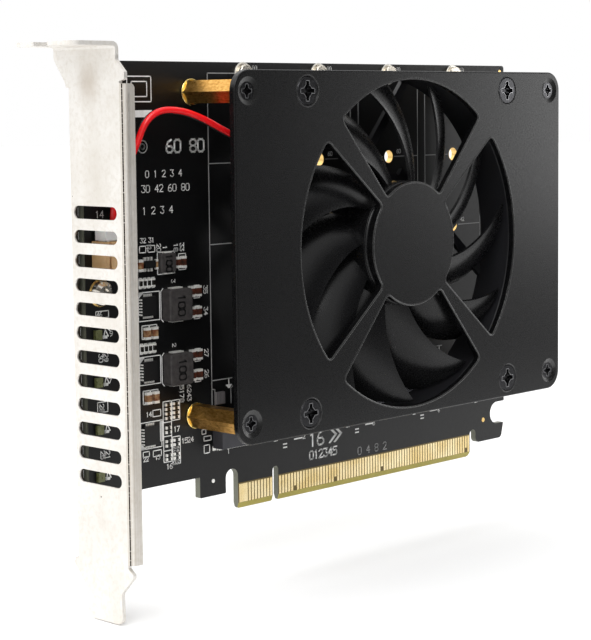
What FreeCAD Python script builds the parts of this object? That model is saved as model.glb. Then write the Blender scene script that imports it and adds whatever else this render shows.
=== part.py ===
import FreeCAD, Part
import math
import os

# Add-in card for a full-height PCI Express slot. It carries four M.2 drives side by side,
# cooled by a slim 80 mm fan that hangs under a sheet-metal fan plate on four hex standoffs.
#
# Millimetres. X runs along the card from the bracket to the far end, Y from the component
# face towards the back, Z up. The origin is on the component face, level with the bottom of
# the edge tongue, in line with its key notch.

os.makedirs("parts", exist_ok=True)
V = FreeCAD.Vector

# ---------------------------------------------------------------- driving dimensions
# board
BOARD_THICK = 1.57
BOARD_LEFT = -55.9
BOARD_RIGHT = 86.65
BOARD_TOP = 101.25
BOARD_BOTTOM = 8.95
TONGUE_LEFT = -12.15
TONGUE_RIGHT = 72.15
KEY_HALF = 0.95
KEY_DEPTH = 8.1
BEVEL_HIGH = 1.3
BEVEL_DEEP = 0.45
CONTACT_WIDE = 0.7
CONTACT_LOW = 1.35
CONTACT_HIGH = 5.6
CONTACT_THICK = 0.05
SHORT_CONTACT_LOW = 2.5
CONTACTS_LEFT = 11
CONTACTS_RIGHT = 71

# fan and fan plate
FAN_X = 29.03
FAN_Z = 58.9
FAN_SIZE = 80.0
FAN_THICK = 10.0
FAN_HOLE_PITCH = 71.5
PLATE_THICK = 1.5
PLATE_FRONT = -18.0
PLATE_LEFT = -29.2
PLATE_RIGHT = 86.4
PLATE_LOW = 18.5
PLATE_HIGH = 99.2
PLATE_CORNER = 4.5
STANDOFF_X = (-25.05, 82.1)
STANDOFF_FLATS = 5.0
GRILLE_IN = 14.6
GRILLE_OUT = 38.4
GRILLE_HALF_ANGLE = 40.0

# rotor
BLADES = 11
HUB_R = 14.8
HUB_FRONT = -16.1
HUB_BACK = -8.5
BLADE_TIP_R = 37.8
FAN_BORE_R = 38.9
BLADE_FRONT = -15.5
BLADE_BACK = -8.2
BLADE_THICK = 1.25
SHAFT_R = 1.5
SHAFT_CLEARANCE = 0.03

# drive lanes
LANES = 4
LANE_X = -8.94
LANE_PITCH = 24.83
SOCKET_EDGE_Z = 18.82
DRIVE_LENGTHS = (80.0, 60.0, 42.0, 30.0)
POST_HOLE_R = 1.6
POST_HIGH = 1.4

# bracket
SHEET = 0.86
FACE_X = -58.0
FLANGE_TOP = 104.7
BRACKET_FOOT = -15.32
BRACKET_BACK = 2.43
BRACKET_FRONT = -15.9
BEND_OUT = 1.5
TAB_SCREW_X = -51.9
TAB_SCREW_Z = (52.56, 95.03)
VENTS = 12
VENT_PITCH = 5.018
VENT_TOP_Z = 69.93

BOARD_BACK = BOARD_THICK
PLATE_BACK = PLATE_FRONT + PLATE_THICK
FRAME_FRONT = PLATE_BACK
FRAME_BACK = FRAME_FRONT + FAN_THICK
SCREW_HALF = FAN_HOLE_PITCH / 2
STANDOFF_Z = (FAN_Z - SCREW_HALF, FAN_Z + SCREW_HALF)
STANDOFF_PLACES = [(x, z) for z in STANDOFF_Z for x in STANDOFF_X]
FAN_SCREW_PLACES = [(FAN_X + sx * SCREW_HALF, FAN_Z + sz * SCREW_HALF) for sz in (-1, 1) for sx in (-1, 1)]
LANE_CENTRES = [LANE_X + LANE_PITCH * k for k in range(LANES)]


# ---------------------------------------------------------------- shape helpers
def save(name, shape):
    """Write one node; several solids in a node are kept as a compound."""
    if isinstance(shape, list):
        shape = Part.makeCompound(shape)
    assert shape.isValid() and shape.Solids, name
    shape.exportStep("parts/" + name + ".step")
    volume = sum(solid.Volume for solid in shape.Solids)
    print("%-20s solids %3d  volume %9.2f mm3" % (name, len(shape.Solids), volume))


def box(x0, x1, y0, y1, z0, z1):
    return Part.makeBox(x1 - x0, y1 - y0, z1 - z0, V(x0, y0, z0))


def rod(x, z, radius, y0, y1):
    """Cylinder across the board, along Y."""
    return Part.makeCylinder(radius, y1 - y0, V(x, y0, z), V(0, 1, 0))


def cone(x, z, r0, r1, y0, y1):
    return Part.makeCone(r0, r1, y1 - y0, V(x, y0, z), V(0, 1, 0))


def rounded_wire(corners, place):
    """Closed wire through corners (u, v, radius); each radius becomes a tangent arc."""
    flat = [V(u, v, 0) for u, v, radius in corners]
    edges = []
    joints = []
    for k, (u, v, radius) in enumerate(corners):
        here = flat[k]
        back = flat[k - 1] - here
        ahead = flat[(k + 1) % len(flat)] - here
        back.normalize()
        ahead.normalize()
        if radius == 0:
            joints.append((here, None, here))
            continue
        half = back.getAngle(ahead) / 2
        reach = radius / math.tan(half)
        middle = back + ahead
        middle.normalize()
        centre = here + middle * (radius / math.sin(half))
        joints.append((here + back * reach, centre - middle * radius, here + ahead * reach))
    for k, (start, middle, end) in enumerate(joints):
        if middle is not None:
            edges.append(Part.Arc(place(start), place(middle), place(end)).toShape())
        nearest = joints[(k + 1) % len(joints)][0]
        if end.distanceToPoint(nearest) > 1e-6:
            edges.append(Part.LineSegment(place(end), place(nearest)).toShape())
    return Part.Wire(edges)


def sheet_xz(corners, y0, y1):
    """Outline in X and Z, carried along Y."""
    wire = rounded_wire(corners, lambda p: V(p.x, y0, p.y))
    return Part.Face(wire).extrude(V(0, y1 - y0, 0))


def sheet_yz(corners, x0, x1):
    """Outline in Y and Z, carried along X."""
    wire = rounded_wire(corners, lambda p: V(x0, p.x, p.y))
    return Part.Face(wire).extrude(V(x1 - x0, 0, 0))


def sheet_xy(corners, z0, z1):
    """Outline in X and Y, carried along Z."""
    wire = rounded_wire(corners, lambda p: V(p.x, p.y, z0))
    return Part.Face(wire).extrude(V(0, 0, z1 - z0))


def rectangle(u0, u1, v0, v1, radius=0):
    return [(u0, v0, radius), (u1, v0, radius), (u1, v1, radius), (u0, v1, radius)]


def turned(x, z, profile):
    """Revolve (radius, y) corners about the line along Y through x, z."""
    corners = [(r, y, 0) for r, y in profile]
    wire = rounded_wire(corners, lambda p: V(x + p.x, p.y, z))
    return Part.Face(wire).revolve(V(x, 0, z), V(0, 1, 0), 360)


def cross_recess(x, z, reach, half, face, depth):
    """Cross-head recess sunk into a face at y = face (a negative depth sinks towards -Y): four arms
    flared at the centre for half the depth, then a narrower cross."""
    corners = []
    for k in range(4):
        turn = math.radians(90 * k)
        for along, aside in ((0.6 * reach, -half), (reach, -half), (reach, half), (0.6 * reach, half),
                             (0.42 * reach, 0.42 * reach)):
            corners.append((x + along * math.cos(turn) - aside * math.sin(turn),
                            z + along * math.sin(turn) + aside * math.cos(turn), 0))
    outside = face - math.copysign(1.0, depth)
    mouth = sheet_xz(corners, *sorted((outside, face + 0.5 * depth)))
    low, high = sorted((outside, face + depth))
    narrow = 0.8 * reach
    slim = 0.7 * half
    cross = box(x - narrow, x + narrow, low, high, z - slim, z + slim)
    return mouth.fuse(cross).fuse(box(x - slim, x + slim, low, high, z - narrow, z + narrow))


# ---------------------------------------------------------------- circuit board
def circuit_board():
    """Board cut to its true outline: stub, keyed tongue with bevelled lead-in, hook with a C notch."""
    outline = [
        (BOARD_LEFT, BOARD_TOP, 0.8), (BOARD_LEFT, BOARD_BOTTOM, 0.8),
        (-24.0, BOARD_BOTTOM, 0), (-24.0, 4.2, 0.3), (-16.0, 4.2, 0.3),
        (-16.0, 9.5, 1.9), (TONGUE_LEFT, 9.5, 1.9), (TONGUE_LEFT, 0, 0.6),
        (-KEY_HALF, 0, 0.3), (-KEY_HALF, KEY_DEPTH, 0.94), (KEY_HALF, KEY_DEPTH, 0.94), (KEY_HALF, 0, 0.3),
        (TONGUE_RIGHT, 0, 1.2), (TONGUE_RIGHT, 6.9, 1.2), (74.6, 6.9, 1.2),
        (74.6, 3.3, 1.4), (85.4, 3.3, 1.2), (86.4, 7.3, 0.3),
        (80.75, 7.3, 2.8), (80.75, 13.0, 2.8), (BOARD_RIGHT, 13.0, 0.3),
        (BOARD_RIGHT, BOARD_TOP, 0.8),
    ]
    board = sheet_xz(outline, 0, BOARD_THICK)
    length = TONGUE_RIGHT - TONGUE_LEFT + 2
    for face, inward in ((0, 1), (BOARD_THICK, -1)):
        wedge = Part.makePolygon([
            V(TONGUE_LEFT - 1, face, BEVEL_HIGH), V(TONGUE_LEFT - 1, face + inward * BEVEL_DEEP, 0),
            V(TONGUE_LEFT - 1, face + inward * BEVEL_DEEP, -1), V(TONGUE_LEFT - 1, face - inward, -1),
            V(TONGUE_LEFT - 1, face - inward, BEVEL_HIGH), V(TONGUE_LEFT - 1, face, BEVEL_HIGH)])
        board = board.cut(Part.Face(wedge).extrude(V(length, 0, 0)))
    holes = [(x, z, 1.6) for x, z in STANDOFF_PLACES]
    holes += [(TAB_SCREW_X, z, 1.6) for z in TAB_SCREW_Z]
    holes += [(x, SOCKET_EDGE_Z + run, POST_HOLE_R) for x in LANE_CENTRES for run in DRIVE_LENGTHS]
    holes += [(-20.0, 7.6, 0.45)]
    for x, z, radius in holes:
        board = board.cut(rod(x, z, radius, -1, BOARD_THICK + 1))
    return board


def contact_places():
    """Centres of the contacts left and right of the key notch, 1 mm apart."""
    left = [-1.5 - k for k in range(CONTACTS_LEFT)]
    right = [1.5 + k for k in range(CONTACTS_RIGHT)]
    return left, right


def edge_contacts(y0, y1, short, joined):
    """Gold contacts on one face: the sense contacts are short, and a joined run is one wide pad."""
    left, right = contact_places()
    pads = []
    for x in left + right:
        if x in joined:
            continue
        low = SHORT_CONTACT_LOW if x in short else CONTACT_LOW
        pads.append(box(x - CONTACT_WIDE / 2, x + CONTACT_WIDE / 2, y0, y1, low, CONTACT_HIGH))
    if joined:
        pads.append(box(min(joined) - CONTACT_WIDE / 2, max(joined) + CONTACT_WIDE / 2,
                        y0, y1, CONTACT_LOW, CONTACT_HIGH))
    return pads


save("circuit_board", circuit_board())
save("edge_contacts_front", edge_contacts(-CONTACT_THICK, 0, (6.5, 20.5, 37.5, 70.5), (-11.5, -10.5, -9.5)))
save("edge_contacts_back", edge_contacts(BOARD_THICK, BOARD_THICK + CONTACT_THICK, (-11.5,), ()))


# ---------------------------------------------------------------- bracket
def bracket():
    """One sheet-metal pressing: vented face, top flange, side lip, two tabs behind the board."""
    inner = FACE_X + SHEET
    bend_in = BEND_OUT - SHEET
    lip_turn = BRACKET_FRONT + BEND_OUT
    tab_turn = BRACKET_BACK - BEND_OUT
    flange_turn = FLANGE_TOP - BEND_OUT
    lip_low, lip_high = -2.4, 96.2
    face = sheet_yz([
        (6.2, flange_turn, 0), (6.2, 101.4, 1.0), (2.9, 97.0, 2.0), (2.43, 96.0, 0.5), (2.43, -3.4, 0.3),
        (2.9, -4.3, 0.4), (-1.15, -8.9, 1.0), (-1.6, BRACKET_FOOT, 2.0), (-12.5, BRACKET_FOOT, 1.6),
        (-12.2, -8.8, 1.0), (-15.97, -4.9, 0.5), (-15.97, -4.1, 0.3),
        (lip_turn, -3.0, 0), (lip_turn, 96.7, 0),
        (-15.97, 97.0, 0.3), (-15.97, 98.5, 0.6), (-13.4, 101.0, 0.8), (-13.4, flange_turn, 0),
    ], FACE_X, inner)
    tab_face_cut = box(FACE_X - 1, inner + 1, tab_turn, BRACKET_BACK + 1, -3.2, 95.6)
    face = face.cut(tab_face_cut)
    back_edge = sheet_xy([
        (FACE_X, tab_turn - 0.5, 0), (FACE_X, BRACKET_BACK, BEND_OUT), (FACE_X + 1.9, BRACKET_BACK, 0),
        (FACE_X + 1.9, BRACKET_BACK - SHEET, 0), (inner, BRACKET_BACK - SHEET, bend_in),
        (inner, tab_turn - 0.5, 0),
    ], -3.2, 95.6)
    lip = sheet_xy([
        (FACE_X, lip_turn + 0.5, 0), (FACE_X, BRACKET_FRONT, BEND_OUT), (FACE_X + 2.8, BRACKET_FRONT, 0),
        (FACE_X + 2.8, BRACKET_FRONT + SHEET, 0), (inner, BRACKET_FRONT + SHEET, bend_in),
        (inner, lip_turn + 0.5, 0),
    ], lip_low, lip_high)
    lip_corner = box(FACE_X + 1.8, FACE_X + 3.8, BRACKET_FRONT - 1, BRACKET_FRONT + 2, lip_high - 1, lip_high + 1)
    lip_round = Part.makeCylinder(1.0, 6, V(FACE_X + 1.8, BRACKET_FRONT - 2, lip_high - 1), V(0, 1, 0))
    lip = lip.cut(lip_corner.cut(lip_round))
    flange_out = -68.9
    flange_profile = Part.Wire([
        Part.LineSegment(V(inner, -13.4, flange_turn - 0.5), V(inner, -13.4, flange_turn)).toShape(),
        Part.Arc(V(inner, -13.4, flange_turn),
                 V(inner - BEND_OUT * (1 - math.cos(math.pi / 4)), -13.4,
                   flange_turn + BEND_OUT * math.sin(math.pi / 4)),
                 V(inner - BEND_OUT, -13.4, FLANGE_TOP)).toShape(),
        Part.LineSegment(V(inner - BEND_OUT, -13.4, FLANGE_TOP), V(flange_out, -13.4, FLANGE_TOP)).toShape(),
        Part.LineSegment(V(flange_out, -13.4, FLANGE_TOP), V(flange_out, -13.4, FLANGE_TOP - SHEET)).toShape(),
        Part.LineSegment(V(flange_out, -13.4, FLANGE_TOP - SHEET),
                         V(inner - BEND_OUT, -13.4, FLANGE_TOP - SHEET)).toShape(),
        Part.Arc(V(inner - BEND_OUT, -13.4, FLANGE_TOP - SHEET),
                 V(inner - BEND_OUT + bend_in * math.sin(math.pi / 4), -13.4,
                   flange_turn + bend_in * math.cos(math.pi / 4)),
                 V(FACE_X, -13.4, flange_turn)).toShape(),
        Part.LineSegment(V(FACE_X, -13.4, flange_turn), V(FACE_X, -13.4, flange_turn - 0.5)).toShape(),
        Part.LineSegment(V(FACE_X, -13.4, flange_turn - 0.5), V(inner, -13.4, flange_turn - 0.5)).toShape(),
    ])
    flange = Part.Face(flange_profile).extrude(V(0, 6.2 + 13.4, 0))
    flange_plan = sheet_xy([
        (FACE_X + 2, -13.4, 0), (flange_out, -13.4, 2.5), (flange_out, -5.1, 0.6),
        (-63.6, -5.1, 2.14), (-63.6, -0.8, 2.14), (flange_out, -0.8, 0.6),
        (flange_out, 6.2, 2.5), (FACE_X + 2, 6.2, 0),
    ], flange_turn - 1, FLANGE_TOP + 1)
    flange = flange.common(flange_plan)
    body = face.fuse([back_edge, lip, flange])
    for screw_z in TAB_SCREW_Z:
        tab = sheet_xz([
            (FACE_X + 1.5, screw_z - 4.5, 0), (TAB_SCREW_X + 4.5, screw_z - 4.5, 4.4),
            (TAB_SCREW_X + 4.5, screw_z + 4.5, 4.4), (FACE_X + 1.5, screw_z + 4.5, 0),
        ], BRACKET_BACK - SHEET, BRACKET_BACK)
        body = body.fuse(tab).cut(rod(TAB_SCREW_X, screw_z, 1.5, 0, 4))
    for k in range(VENTS):
        z = VENT_TOP_Z - VENT_PITCH * k
        vent = sheet_yz(rectangle(-12.95, 0.55, z - 1.35, z + 1.35, 1.34), FACE_X - 1, inner + 1)
        body = body.cut(vent)
    return body.removeSplitter()


def bracket_screws():
    """Pan-head screws through the board into the tapped tabs."""
    screws = []
    for z in TAB_SCREW_Z:
        head = turned(TAB_SCREW_X, z, [(0, -2.0), (1.6, -1.9), (2.5, -1.3), (2.7, -0.6), (2.7, 0), (0, 0)])
        shank = rod(TAB_SCREW_X, z, 1.5, -0.2, BRACKET_BACK + 0.9)
        screw = head.fuse(shank).cut(cross_recess(TAB_SCREW_X, z, 1.6, 0.36, -2.0, 1.0))
        screws.append(screw)
    return screws


save("bracket", bracket())
save("bracket_screws", bracket_screws())


# ---------------------------------------------------------------- fan plate and its fixings
def grille_sector(middle):
    """One quarter of the grille: a rounded sector between the centre disc and the rim."""
    low = math.radians(middle - GRILLE_HALF_ANGLE)
    high = math.radians(middle + GRILLE_HALF_ANGLE)
    mid = math.radians(middle)

    def at(radius, angle):
        return V(FAN_X + radius * math.cos(angle), PLATE_FRONT - 1, FAN_Z + radius * math.sin(angle))

    wire = Part.Wire([
        Part.Arc(at(GRILLE_OUT, low), at(GRILLE_OUT, mid), at(GRILLE_OUT, high)).toShape(),
        Part.LineSegment(at(GRILLE_OUT, high), at(GRILLE_IN, high)).toShape(),
        Part.Arc(at(GRILLE_IN, high), at(GRILLE_IN, mid), at(GRILLE_IN, low)).toShape(),
        Part.LineSegment(at(GRILLE_IN, low), at(GRILLE_OUT, low)).toShape(),
    ])
    sector = Part.Face(wire).extrude(V(0, PLATE_THICK + 2, 0))
    upright = [edge for edge in sector.Edges if abs(edge.tangentAt(edge.FirstParameter).y) > 0.99]
    return sector.makeFillet(1.2, upright)


def fan_plate():
    """Folded flat plate with rounded corners, a four-sector grille and countersunk holes."""
    outline = rectangle(PLATE_LEFT, PLATE_RIGHT, PLATE_LOW, PLATE_HIGH, PLATE_CORNER)
    plate = sheet_xz(outline, PLATE_FRONT, PLATE_BACK)
    plate = plate.makeFillet(0.35, [e for e in plate.Edges if abs(e.CenterOfMass.y - PLATE_FRONT) < 1e-6])
    for middle in (0, 90, 180, 270):
        plate = plate.cut(grille_sector(middle))
    for x, z in FAN_SCREW_PLACES:
        plate = plate.cut(rod(x, z, 2.15, PLATE_FRONT - 1, PLATE_BACK + 1))
        plate = plate.cut(cone(x, z, 3.4, 2.15, PLATE_FRONT, PLATE_FRONT + 1.25))
    for x, z in STANDOFF_PLACES:
        plate = plate.cut(rod(x, z, 1.6, PLATE_FRONT - 1, PLATE_BACK + 1))
        plate = plate.cut(cone(x, z, 3.1, 2.5, PLATE_FRONT, PLATE_FRONT + 0.5))
        plate = plate.cut(cone(x, z, 2.5, 1.6, PLATE_FRONT + 0.5, PLATE_BACK))
    return plate


def standoff(x, z):
    """Brass hex standoff, tapped from both ends."""
    across_corners = STANDOFF_FLATS / math.cos(math.pi / 6)
    corners = []
    for k in range(6):
        angle = math.radians(60 * k)
        corners.append((x + across_corners / 2 * math.cos(angle), z + across_corners / 2 * math.sin(angle), 0))
    body = sheet_xz(corners, PLATE_BACK, 0)
    crown = turned(x, z, [(0, PLATE_BACK), (2.55, PLATE_BACK), (2.95, PLATE_BACK + 0.4),
                          (2.95, -0.4), (2.55, 0), (0, 0)])
    bore = rod(x, z, 1.25, PLATE_BACK - 1, 1)
    return body.common(crown).cut(bore)


def plate_screws():
    """Countersunk screws, seated below the plate's face, into the standoffs."""
    screws = []
    seat = PLATE_FRONT + 0.5
    for x, z in STANDOFF_PLACES:
        screw = turned(x, z, [(0, seat), (2.45, seat), (1.55, PLATE_BACK - 0.05), (1.25, PLATE_BACK - 0.05),
                              (1.25, PLATE_BACK + 5), (0, PLATE_BACK + 5)])
        screws.append(screw.cut(cross_recess(x, z, 1.45, 0.38, seat, 0.8)))
    return screws


def standoff_screws():
    """Pan-head screws from the board's back into the standoffs."""
    screws = []
    back = BOARD_BACK
    for x, z in STANDOFF_PLACES:
        head = turned(x, z, [(0, back), (2.7, back), (2.7, back + 0.7), (2.4, back + 1.4),
                             (1.5, back + 1.9), (0, back + 2.0)])
        screw = head.fuse(rod(x, z, 1.25, -4.5, back + 0.2))
        screws.append(screw.cut(cross_recess(x, z, 1.5, 0.36, back + 2.0, -1.0)))
    return screws


def fan_screws():
    """Countersunk self-tapping screws through the plate into the fan's corners."""
    screws = []
    top = PLATE_FRONT + 0.03
    for x, z in FAN_SCREW_PLACES:
        screw = turned(x, z, [(0, top), (3.05, top), (3.17, top + 0.12), (2.1, top + 1.19), (2.1, FRAME_BACK - 2.5),
                              (1.2, FRAME_BACK - 1.5), (0, FRAME_BACK - 1.5)])
        screws.append(screw.cut(cross_recess(x, z, 2.2, 0.5, top, 1.0)))
    return screws


save("fan_plate", fan_plate())
for number, (place_x, place_z) in enumerate(STANDOFF_PLACES, 1):
    save("standoff_%d" % number, standoff(place_x, place_z))
save("plate_screws", plate_screws())
save("standoff_screws", standoff_screws())
save("fan_screws", fan_screws())

# ---------------------------------------------------------------- fan
BASE_R = 17.0
BASE_THICK = 1.2
ARM_OFFSET = (16.1, 18.3)
ARM_TURN = 50
FLANGE_THICK = 1.8
BORE_FLARE = 0.7
TUBE_OUT_R = 4.2
SLEEVE_R = 3.2
CABLE_BOSS = (-10.97, -2.0, -11.4, -6.9, 80.2, 84.8)


def fan_frame():
    """Moulded frame: two square flanges, venturi ring, corner posts, motor base on four skew arms."""
    half = FAN_SIZE / 2
    square = rectangle(FAN_X - half, FAN_X + half, FAN_Z - half, FAN_Z + half, 4.0)
    front = sheet_xz(square, FRAME_FRONT, FRAME_FRONT + FLANGE_THICK)
    back = sheet_xz(square, FRAME_BACK - FLANGE_THICK, FRAME_BACK)
    ring = rod(FAN_X, FAN_Z, FAN_BORE_R + 1.1, FRAME_FRONT, FRAME_BACK)
    ring = ring.common(sheet_xz(square, FRAME_FRONT, FRAME_BACK))
    posts = [rod(x, z, 3.6, FRAME_FRONT, FRAME_BACK) for x, z in FAN_SCREW_PLACES]
    frame = front.fuse([back, ring, box(*CABLE_BOSS)] + posts)
    frame = frame.cut(rod(FAN_X, FAN_Z, FAN_BORE_R, FRAME_FRONT - 1, FRAME_BACK + 1))
    for mouth, inside in ((FRAME_FRONT, FRAME_FRONT + BORE_FLARE), (FRAME_BACK, FRAME_BACK - BORE_FLARE)):
        frame = frame.cut(turned(FAN_X, FAN_Z, [(0, mouth), (FAN_BORE_R + BORE_FLARE, mouth),
                                                (FAN_BORE_R, inside), (0, inside)]))
    for x, z in FAN_SCREW_PLACES:
        frame = frame.cut(rod(x, z, 2.1, FRAME_FRONT - 1, FRAME_BACK + 1))
    base = rod(FAN_X, FAN_Z, BASE_R, FRAME_BACK - BASE_THICK, FRAME_BACK)
    tube = rod(FAN_X, FAN_Z, TUBE_OUT_R, HUB_FRONT + 3.4, FRAME_BACK)
    arms = []
    for turn in (0, 90, 180, 270):
        arm = box(FAN_X - 5, FAN_X + 38, FRAME_BACK - BASE_THICK, FRAME_BACK,
                  FAN_Z + ARM_OFFSET[0], FAN_Z + ARM_OFFSET[1])
        arm.rotate(V(FAN_X, 0, FAN_Z), V(0, 1, 0), turn - ARM_TURN)
        arms.append(arm)
    arm_limit = rod(FAN_X, FAN_Z, FAN_BORE_R + 0.5, FRAME_FRONT, FRAME_BACK)
    arms = [arm.common(arm_limit) for arm in arms]
    frame = frame.fuse([base, tube] + arms)
    frame = frame.cut(rod(FAN_X, FAN_Z, SLEEVE_R, HUB_FRONT, FRAME_BACK - 0.8))
    return frame.removeSplitter()


def blade_section(radius):
    """Cambered section on the flat plane at this distance from the fan's axis.

    The front edge sweeps forward with radius and starts 1 mm deeper at the root; the chord
    covers a falling angle, and its bulge faces the front, the side that draws air.
    """
    part = (radius - HUB_R) / (BLADE_TIP_R - HUB_R)
    front_angle = math.radians(-17.5 + 30.5 * part)
    chord_angle = math.radians(28.0 - 6.0 * part)
    front = BLADE_FRONT + 1.0 - part
    middle_angle = front_angle - chord_angle / 2
    half_chord = radius * math.tan(chord_angle / 2)
    outward = V(math.cos(middle_angle), 0, math.sin(middle_angle))
    along = V(-math.sin(middle_angle), 0, math.cos(middle_angle))
    centre = V(FAN_X, (front + BLADE_BACK) / 2, FAN_Z) + outward * radius
    half_depth = (BLADE_BACK - front) / 2
    slope = V(half_chord, half_depth, 0)
    normal = V(half_depth, half_chord, 0)
    normal.normalize()
    camber = 0.15 * slope.Length

    def at(position, lift):
        """position runs -1 at the back edge to 1 at the front edge; lift is along the normal."""
        across = position * half_chord - lift * normal.x
        depth = -position * half_depth - lift * normal.y
        return centre + along * across + V(0, depth, 0)

    root_share = 1.15 - 0.35 * part
    thin = BLADE_THICK * root_share / 2
    edge = thin * 0.5
    upper = Part.Arc(at(-1, edge), at(0, camber + thin), at(1, edge)).toShape()
    lower = Part.Arc(at(1, -edge), at(0, camber - thin), at(-1, -edge)).toShape()
    nose = Part.LineSegment(at(1, edge), at(1, -edge)).toShape()
    tail = Part.LineSegment(at(-1, -edge), at(-1, edge)).toShape()
    return Part.Wire([upper, nose, lower, tail])


def fan_blade():
    """Loft through four sections, trimmed to the tip cylinder and to the hub's wall."""
    sections = [blade_section(radius) for radius in (12.5, 21.0, 30.5, 40.0)]
    loft = Part.makeLoft(sections, True, False)
    sweep = rod(FAN_X, FAN_Z, BLADE_TIP_R, HUB_FRONT, FRAME_BACK)
    sweep = sweep.cut(rod(FAN_X, FAN_Z, HUB_R - 0.5, HUB_FRONT - 1, FRAME_BACK + 1))
    return loft.common(sweep)


def fan_rotor():
    """Hub cup with eleven swept blades, moulded in one piece."""
    wall = 1.2
    hub = turned(FAN_X, FAN_Z, [
        (0, HUB_FRONT), (HUB_R - 0.7, HUB_FRONT), (HUB_R, HUB_FRONT + 0.7), (HUB_R, HUB_BACK),
        (HUB_R - wall, HUB_BACK), (HUB_R - wall, HUB_FRONT + wall), (2.6, HUB_FRONT + wall),
        (2.6, HUB_FRONT + 2.8), (SHAFT_R + 0.01, HUB_FRONT + 2.8), (SHAFT_R + 0.01, HUB_FRONT + 0.6),
        (0, HUB_FRONT + 0.6),
    ])
    blade = fan_blade()
    blades = []
    for k in range(BLADES):
        copy = blade.copy()
        copy.rotate(V(FAN_X, 0, FAN_Z), V(0, -1, 0), 360.0 / BLADES * k)
        blades.append(copy)
    return hub.fuse(blades)


def stator_core():
    """Laminated four-pole core pressed on the bearing tube."""
    low, high = -13.2, -10.2
    pole_r = 11.3
    tips = rod(FAN_X, FAN_Z, pole_r, low, high).cut(rod(FAN_X, FAN_Z, pole_r - 1.3, low - 1, high + 1))
    core = rod(FAN_X, FAN_Z, TUBE_OUT_R + 1.4, low, high)
    for turn in (0, 90):
        core = core.fuse(box(FAN_X - 10.4, FAN_X + 10.4, low, high, FAN_Z - 1.5, FAN_Z + 1.5).rotated(
            V(FAN_X, 0, FAN_Z), V(0, 1, 0), turn))
        gap = box(FAN_X - 20, FAN_X + 20, low - 1, high + 1, FAN_Z - 1.1, FAN_Z + 1.1)
        tips = tips.cut(gap.rotated(V(FAN_X, 0, FAN_Z), V(0, 1, 0), 45 + turn))
    return core.fuse(tips).cut(rod(FAN_X, FAN_Z, TUBE_OUT_R + 0.02, low - 1, high + 1))


def stator_coils():
    """Four wound coils, one round each pole."""
    coils = []
    for turn in (0, 90, 180, 270):
        coil = box(FAN_X + 6.2, FAN_X + 9.3, -14.0, -9.4, FAN_Z - 3.1, FAN_Z + 3.1)
        coil = coil.cut(box(FAN_X + 6, FAN_X + 10, -13.2, -10.2, FAN_Z - 1.5, FAN_Z + 1.5))
        coils.append(coil.rotated(V(FAN_X, 0, FAN_Z), V(0, 1, 0), turn))
    return coils


def tube_piece(outer, inner, y0, y1):
    """Ring about the fan's axis."""
    return rod(FAN_X, FAN_Z, outer, y0, y1).cut(rod(FAN_X, FAN_Z, inner, y0 - 1, y1 + 1))


save("fan_frame", fan_frame())
save("fan_rotor", fan_rotor())
save("rotor_yoke", tube_piece(13.6, 12.9, HUB_FRONT + 1.2, -9.0))
save("rotor_magnet", tube_piece(12.9, 11.8, -14.0, -9.2))
save("rotor_shaft", rod(FAN_X, FAN_Z, SHAFT_R, HUB_FRONT + 0.6, FRAME_BACK - 1.0))
save("fan_bearing", tube_piece(SLEEVE_R, SHAFT_R + SHAFT_CLEARANCE, HUB_FRONT + 3.4, FRAME_BACK - 0.8))
save("stator_core", stator_core())
save("stator_coils", stator_coils())
save("fan_circuit_board", tube_piece(13.0, TUBE_OUT_R, FRAME_BACK - BASE_THICK - 0.8, FRAME_BACK - BASE_THICK))


# ---------------------------------------------------------------- drive sockets and posts
SOCKET_HIGH = 3.2
SOCKET_BACK_Z = 15.0
SOCKET_MOUTH_Z = 23.4
SOCKET_HALF = 10.95


def drive_socket(x):
    """Right-angle M.2 socket with its card slot open upwards and an M key rib in the slot."""
    body = sheet_xz(rectangle(x - SOCKET_HALF, x + SOCKET_HALF, SOCKET_BACK_Z, SOCKET_MOUTH_Z, 0.3),
                    -SOCKET_HIGH, -0.15)
    body = body.fuse(box(x - SOCKET_HALF, x - SOCKET_HALF + 1.4, -0.2, 0, SOCKET_BACK_Z + 1, SOCKET_MOUTH_Z - 1))
    body = body.fuse(box(x + SOCKET_HALF - 1.4, x + SOCKET_HALF, -0.2, 0, SOCKET_BACK_Z + 1, SOCKET_MOUTH_Z - 1))
    slot = box(x - 10.0, x + 10.0, -2.5, -1.2, SOCKET_EDGE_Z, SOCKET_MOUTH_Z + 1)
    key = box(x + 5.6, x + 6.6, -2.6, -1.1, SOCKET_EDGE_Z - 0.2, SOCKET_MOUTH_Z)
    chamfer = Part.Face(Part.makePolygon([
        V(x - 10.0, -2.9, SOCKET_MOUTH_Z), V(x - 10.0, -2.5, SOCKET_MOUTH_Z - 0.8),
        V(x - 10.0, -1.9, SOCKET_MOUTH_Z - 0.8), V(x - 10.0, -1.9, SOCKET_MOUTH_Z),
        V(x - 10.0, -2.9, SOCKET_MOUTH_Z)])).extrude(V(20.0, 0, 0))
    body = body.cut(slot.cut(key)).cut(chamfer.cut(key))
    relief = box(x - 9.6, x + 9.6, -SOCKET_HIGH - 1, -SOCKET_HIGH + 0.35, SOCKET_BACK_Z - 1, SOCKET_BACK_Z + 1.1)
    return body.cut(relief)


def socket_tails():
    """Solder tails along the back of each socket, 0.5 mm apart."""
    tails = []
    for x in LANE_CENTRES:
        for k in range(37):
            here = x - 9.0 + 0.5 * k
            if 5.3 < here - x < 7.1:
                continue
            tails.append(box(here - 0.11, here + 0.11, -0.2, 0, SOCKET_BACK_Z - 0.75, SOCKET_BACK_Z))
    return tails


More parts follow.
